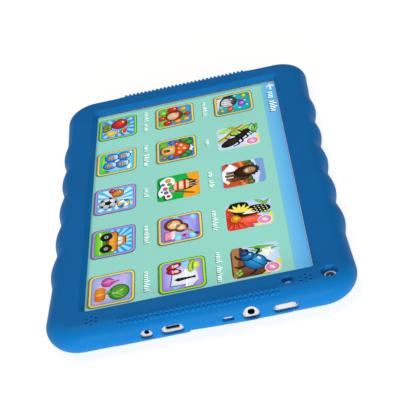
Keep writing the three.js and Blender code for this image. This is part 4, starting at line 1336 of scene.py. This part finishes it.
def orchard(c):
    c.frame("86d438", "35561f", "7fb6ee")
    c.rays(("2f93f0", "9adcff"))
    c.ball(-34, 8, 46, "9a0008", "ff3f30", 42)
    c.oval(-32, 40, 14, 5, "7d0b10", steps=14)
    c.line((-32, 40, -28, 56, -20, 62), 6, "5d3a1c", 4)
    c.leaf(-28, 50, 34, 18, 18, "3f8f2c", "8fd24f")
    c.leaf(-30, 50, 28, 15, 155, "2f7d28", "79c443")
    c.fill(oval(42, 44, 34, 30, -20, 22, 180, 361), "2f7d28")
    c.fill(oval(42, 46, 29, 25, -20, 22, 180, 361), "d8f0a0")
    c.fill(oval(42, 47, 26, 22, -20, 22, 180, 361), "e2101c", "ff4a42", (42, 40))
    for x, y in ((28, 36), (40, 30), (54, 32), (46, 40)):
        c.oval(x, y, 2, 3, "2a1512", steps=8)
    c.blob((44, 10, 36, -10, 22, -36, 36, -60, 64, -58, 74, -34, 56, -8), "e89a00", "fff04a", (40, -34))
    c.leaf(46, 4, 24, 12, 40, "3f8f2c")
    for row in range(3):
        for k in range(5 - row):
            c.dull_ball(-44 + 15 * k + 7.5 * row, -70 + 12 * row, 9.5, "6b5a00" if k % 2 else "2f6b0c",
                    "c4e83a")
    c.line((-50, -78, -10, -66, 34, -76), 7, "a8742f", 5)


def counting(c):
    c.frame("f6cf62", "7a5a1c", "2fc8e8", "ffffff")
    c.shape((-87, -60, -40, -54, 20, -62, 87, -50, 87, -87, -87, -87), "35cc1f", "a4f24a")
    for x, y, r in ((50, 66, 14), (66, 62, 11), (-62, 70, 10)):
        c.oval(x, y, r, 0.7 * r, "ffffff", steps=14)
    for x, y in ((-42, 36), (26, 30), (-42, -26), (24, -34)):
        c.ball(x, y, 34, "0f6cd0", "6fd0ff")
        c.oval(x, y + 24, 20, 7, "b8ecff", steps=16)
        for k in range(3):
            c.slab(x + 2 * k, y - 14 + 12 * k, 16, 4.5, 3, "8a4a00")
            c.slab(x + 2 * k, y - 13 + 12 * k, 13, 2.5, 1.5, "ffb52a")
    c.leaf(72, -62, 30, 16, 80, "3f8f2c")


def balls(c):
    c.frame(*VIOLET_RIM, "9fd8f5")
    c.rays(("4fc4f5", "d4f6ff"))
    c.dull_ball(20, -34, 44, "aeb6c2", "ffffff")
    c.oval(20, -34, 19, 19, "060709", turn=90, steps=5)
    for k in range(5):
        a = math.radians(90 + 72 * k)
        x, y = 20 + 37 * math.cos(a), -34 + 37 * math.sin(a)
        c.stroke([(20 + 15 * math.cos(a), -34 + 15 * math.sin(a)), (x, y)], 3.5, "2a2e37")
        c.oval(x, y, 12, 6, "060709", turn=math.degrees(a) + 90, steps=6)
    c.dot(46, 42, 32, "15304a")
    for k, colour in enumerate(("ffffff", "ffd000", "0f7fe0", "ffffff", "ffd000", "0f7fe0")):
        wedge = oval(46, 42, 29, 29, 0, 8, 60 * k, 60 * k + 60)
        c.fill(np.concatenate([[(40, 50)], wedge]), colour)
    c.dot(40, 50, 5, "ffffff", steps=10)
    c.ball(-46, 12, 30, "c46a00", "ffc04a", 28)
    for k in range(3):
        c.line((-70, 2 + 10 * k, -46, 10 + 10 * k, -22, 0 + 10 * k), 2.5, "5f2f0c")
    c.ball(-68, -16, 14, "b00814", "ff4a42")


def truck(c):
    c.frame(*VIOLET_RIM, "8fd0f5")
    c.rays(("22a8f0", "9ae4ff"), 18)
    c.blob((-86, -30, -30, -10, 30, -16, 86, 0, 87, -87, -87, -87), "4fc414", "baf550")
    c.line((-80, -66, 0, -52, 80, -62), 10, "d8ff7a", 4)
    c.oval(2, -42, 72, 10, "3c8a24")
    c.blob((-40, 12, -30, 46, -14, 52, 28, 50, 44, 14), "c46a00", "ffb52e", steps=5)
    c.shape((-30, 14, -22, 40, 0, 42, 0, 14), "bfe6f5", "f2fcff")
    c.shape((6, 14, 6, 42, 24, 40, 34, 14), "bfe6f5", "f2fcff")
    c.slab(2, -8, 72, 28, 14, "4a2800")
    c.slab(2, -8, 68, 24, 12, "e08000", "ffbf3a")
    c.slab(2, -26, 70, 6, 5, "8f4f12")
    c.slab(4, 56, 26, 3.5, 3, "8f4f12")
    for x in (-10, 12):
        c.slab(x, 64, 7, 5, 2, "ffd970")
    c.stroke([(3, 12), (3, -20)], 2, "9c5a14")
    c.dot(64, -2, 6, "fff6c2", steps=12)
    c.dot(-62, -2, 5, "d8332a", steps=12)
    for x in (-40, 44):
        c.dull_ball(x, -34, 26, "050608", "2c2f36")
        c.dot(x, -34, 10, "9aa0aa", "e8ecf2", steps=16)
        c.dot(x, -34, 4.5, "22252c", steps=10)


def vegetables(c):
    c.frame(*GOLD_RIM, "8fa4f0", "fff4dc")
    c.line((-80, 60, -20, 20, 20, -30, 80, -70), 40, "d0b4f5", 30)
    c.dull_ball(28, 32, 46, "1f7a12", "8fdc3a", 43)
    for k in range(5):
        edge = "1f7a12" if k % 2 else "4fb024"
        c.oval(30 - 3 * k, 36 + 2 * k, 37 - 7 * k, 33 - 6.5 * k, edge, "b4f25a", turn=25 * k)
    c.line((30, 2, 28, 30, 10, 56), 4, "cdeea0", 1.5)
    c.line((30, 10, 44, 34, 56, 50), 3, "cdeea0", 1.2)
    c.blob((-46, 36, -56, 10, -76, -14, -66, -40, -42, -48, -20, -36, -16, -10, -36, 12), "9a1a7a", "f57fd0",
            (-52, -10))
    c.line((-48, 24, -54, -12, -46, -44), 3, "f6b8de", 1.5)
    c.line((-44, -46, -42, -58, -48, -64), 3, "b06a9a")
    for k, x in enumerate((0, 52, 12, 40, 26)):
        c.oval(x, -50, 18, 25, "d85a00", "ffa81f" if k % 2 else "ffd04a")
    c.line((26, -28, 30, -14, 42, -10), 8, "4f7d22", 5)
    c.leaf(30, -20, 30, 14, 150, "3f8f2c", "8fd24f")


# Each icon's drawing, and the lengths of the blank words under it. Rows run down the screen.
ICONS = (
    ((undersea, (19,)), (ant, (7.6,)), (grassland, (7, 8)), (butterfly, (19,)), (beetle, (9.5, 14))),
    ((fruit_ring, (13, 9.5)), (mushroom, (9, 13)), (palette, (10,)), (music, (17.5,)), (clothes, (17.5,))),
    ((orchard, ()), (counting, ()), (balls, ()), (truck, ()), (vegetables, ())),
)
COLUMN_X, COLUMN_STEP = -82.0, 41.0
ROW_Y = (30.3, -7.7, -44.9)
LABEL_DROP = 18.6  # from an icon's middle down to its words
TITLE_BOTTOM = 49.6


def blank_words(c, x, y, words, height, gap):
    """Words as rows of plain bars, centred on x."""
    left = x - (sum(words) + gap * (len(words) - 1)) / 2
    pen = random.Random(7)
    for word in words:
        end = left + word
        while left < end - 0.4 * height:
            width = min(pen.uniform(0.42, 0.72) * height, end - left)
            tall = height * pen.choice((0.7, 0.7, 0.74, 1.0))
            bar = tile(left + width / 2, y + (tall - height) / 2, width / 2 - 0.13 * height, tall / 2,
                    0.16 * height)
            c.fill(bar + (0.17 * height, -0.17 * height), SHADOW)
            c.fill(bar, INK)
            c.layer -= 2
            left += width
        left = end + gap


def each_icon():
    """Each icon's drawing, the lengths of its words, and the place of its middle."""
    for y, icons in zip(ROW_Y, ICONS):
        for column, (draw, words) in enumerate(icons):
            yield draw, words, COLUMN_X + COLUMN_STEP * column, y


def build_picture():
    """The screen's ground with its title strip and words, and then each icon."""
    ground = Canvas()
    ground.fill(tile(-0.7, -0.75, SCREEN_X + 0.7, SCREEN_Y + 0.75, 0.05), "9adccd")

    def strip(low, high, colour):
        ground.fill([(-SCREEN_X, low), (SCREEN_X, low), (SCREEN_X, high), (-SCREEN_X, high)], colour)

    bands = 8
    for k in range(bands):
        shade = "{:02x}{:02x}{:02x}".format(96 + 3 * k, 184 + 2 * k, 236 + k)
        strip(TITLE_BOTTOM, SCREEN_Y - (SCREEN_Y - TITLE_BOTTOM) * k / bands, shade)
    strip(TITLE_BOTTOM - 0.5, TITLE_BOTTOM, "7fc9c9")
    arrow_y = 55.0
    ground.stroke([(-96.5, arrow_y), (-89.5, arrow_y)], 1.2, "ffffff")
    ground.stroke([(-93.6, arrow_y + 2.3), (-96.6, arrow_y), (-93.6, arrow_y - 2.3)], 1.2, "ffffff")
    blank_words(ground, -73.5, arrow_y - 0.2, (8.5, 16), 4.4, 3)
    for _, words, x, y in each_icon():
        blank_words(ground, x, y - LABEL_DROP, words, 2.9, 2.2)
    new_piece("screen_ground", ground.mesh("screen_ground"), PICTURE)
    for draw, _, x, y in each_icon():
        icon = Canvas(x, y, ICON, 2)
        draw(icon)
        new_piece("icon_" + draw.__name__, icon.mesh(draw.__name__), PICTURE)


build_picture()


# ---------------------------------------------------------------- stage and light


def area_light(name, at, size, watts, colour=(1, 1, 1)):
    """A rectangular light that looks at the middle of the frame."""
    data = bpy.data.lights.new(name, "AREA")
    data.shape = "RECTANGLE"
    data.size, data.size_y = size
    data.energy = watts
    data.color = colour
    light = add_object(name, data)
    light.location = at
    light.rotation_euler = (Vector((0, 0, 0)) - Vector(at)).to_track_quat("-Z", "Y").to_euler()


FLOOR_SIZE = 6.0  # metres


def make_stage():
    """A lit paper floor, a faint sky, and colours straight from the render."""
    bpy.ops.mesh.primitive_plane_add(size=FLOOR_SIZE)
    floor = bpy.context.object
    floor.name = "floor"
    s = Shader("paper", roughness=0.9, Emission_Strength=0.84)
    s.main.inputs["Base Color"].default_value = (0.3, 0.28, 0.25, 1)
    s.main.inputs["Emission Color"].default_value = (1, 1, 1, 1)
    floor.data.materials.append(s.material)
    world = bpy.data.worlds.new("studio")
    world.use_nodes = True
    sky = world.node_tree.nodes["Background"]
    sky.inputs["Color"].default_value = (0.95, 0.97, 1.0, 1)
    sky.inputs["Strength"].default_value = 0.12
    bpy.context.scene.world = world
    bpy.context.scene.view_settings.view_transform = "Standard"


make_stage()
area_light("front_softbox", (1.4, 0.1, 0.27), (1.4, 0.4), 18.5, (0.95, 1.0, 0.92))
area_light("overhead", (-0.45, -0.25, 1.5), (1.2, 1.2), 11.6)

bpy.context.view_layer.update()
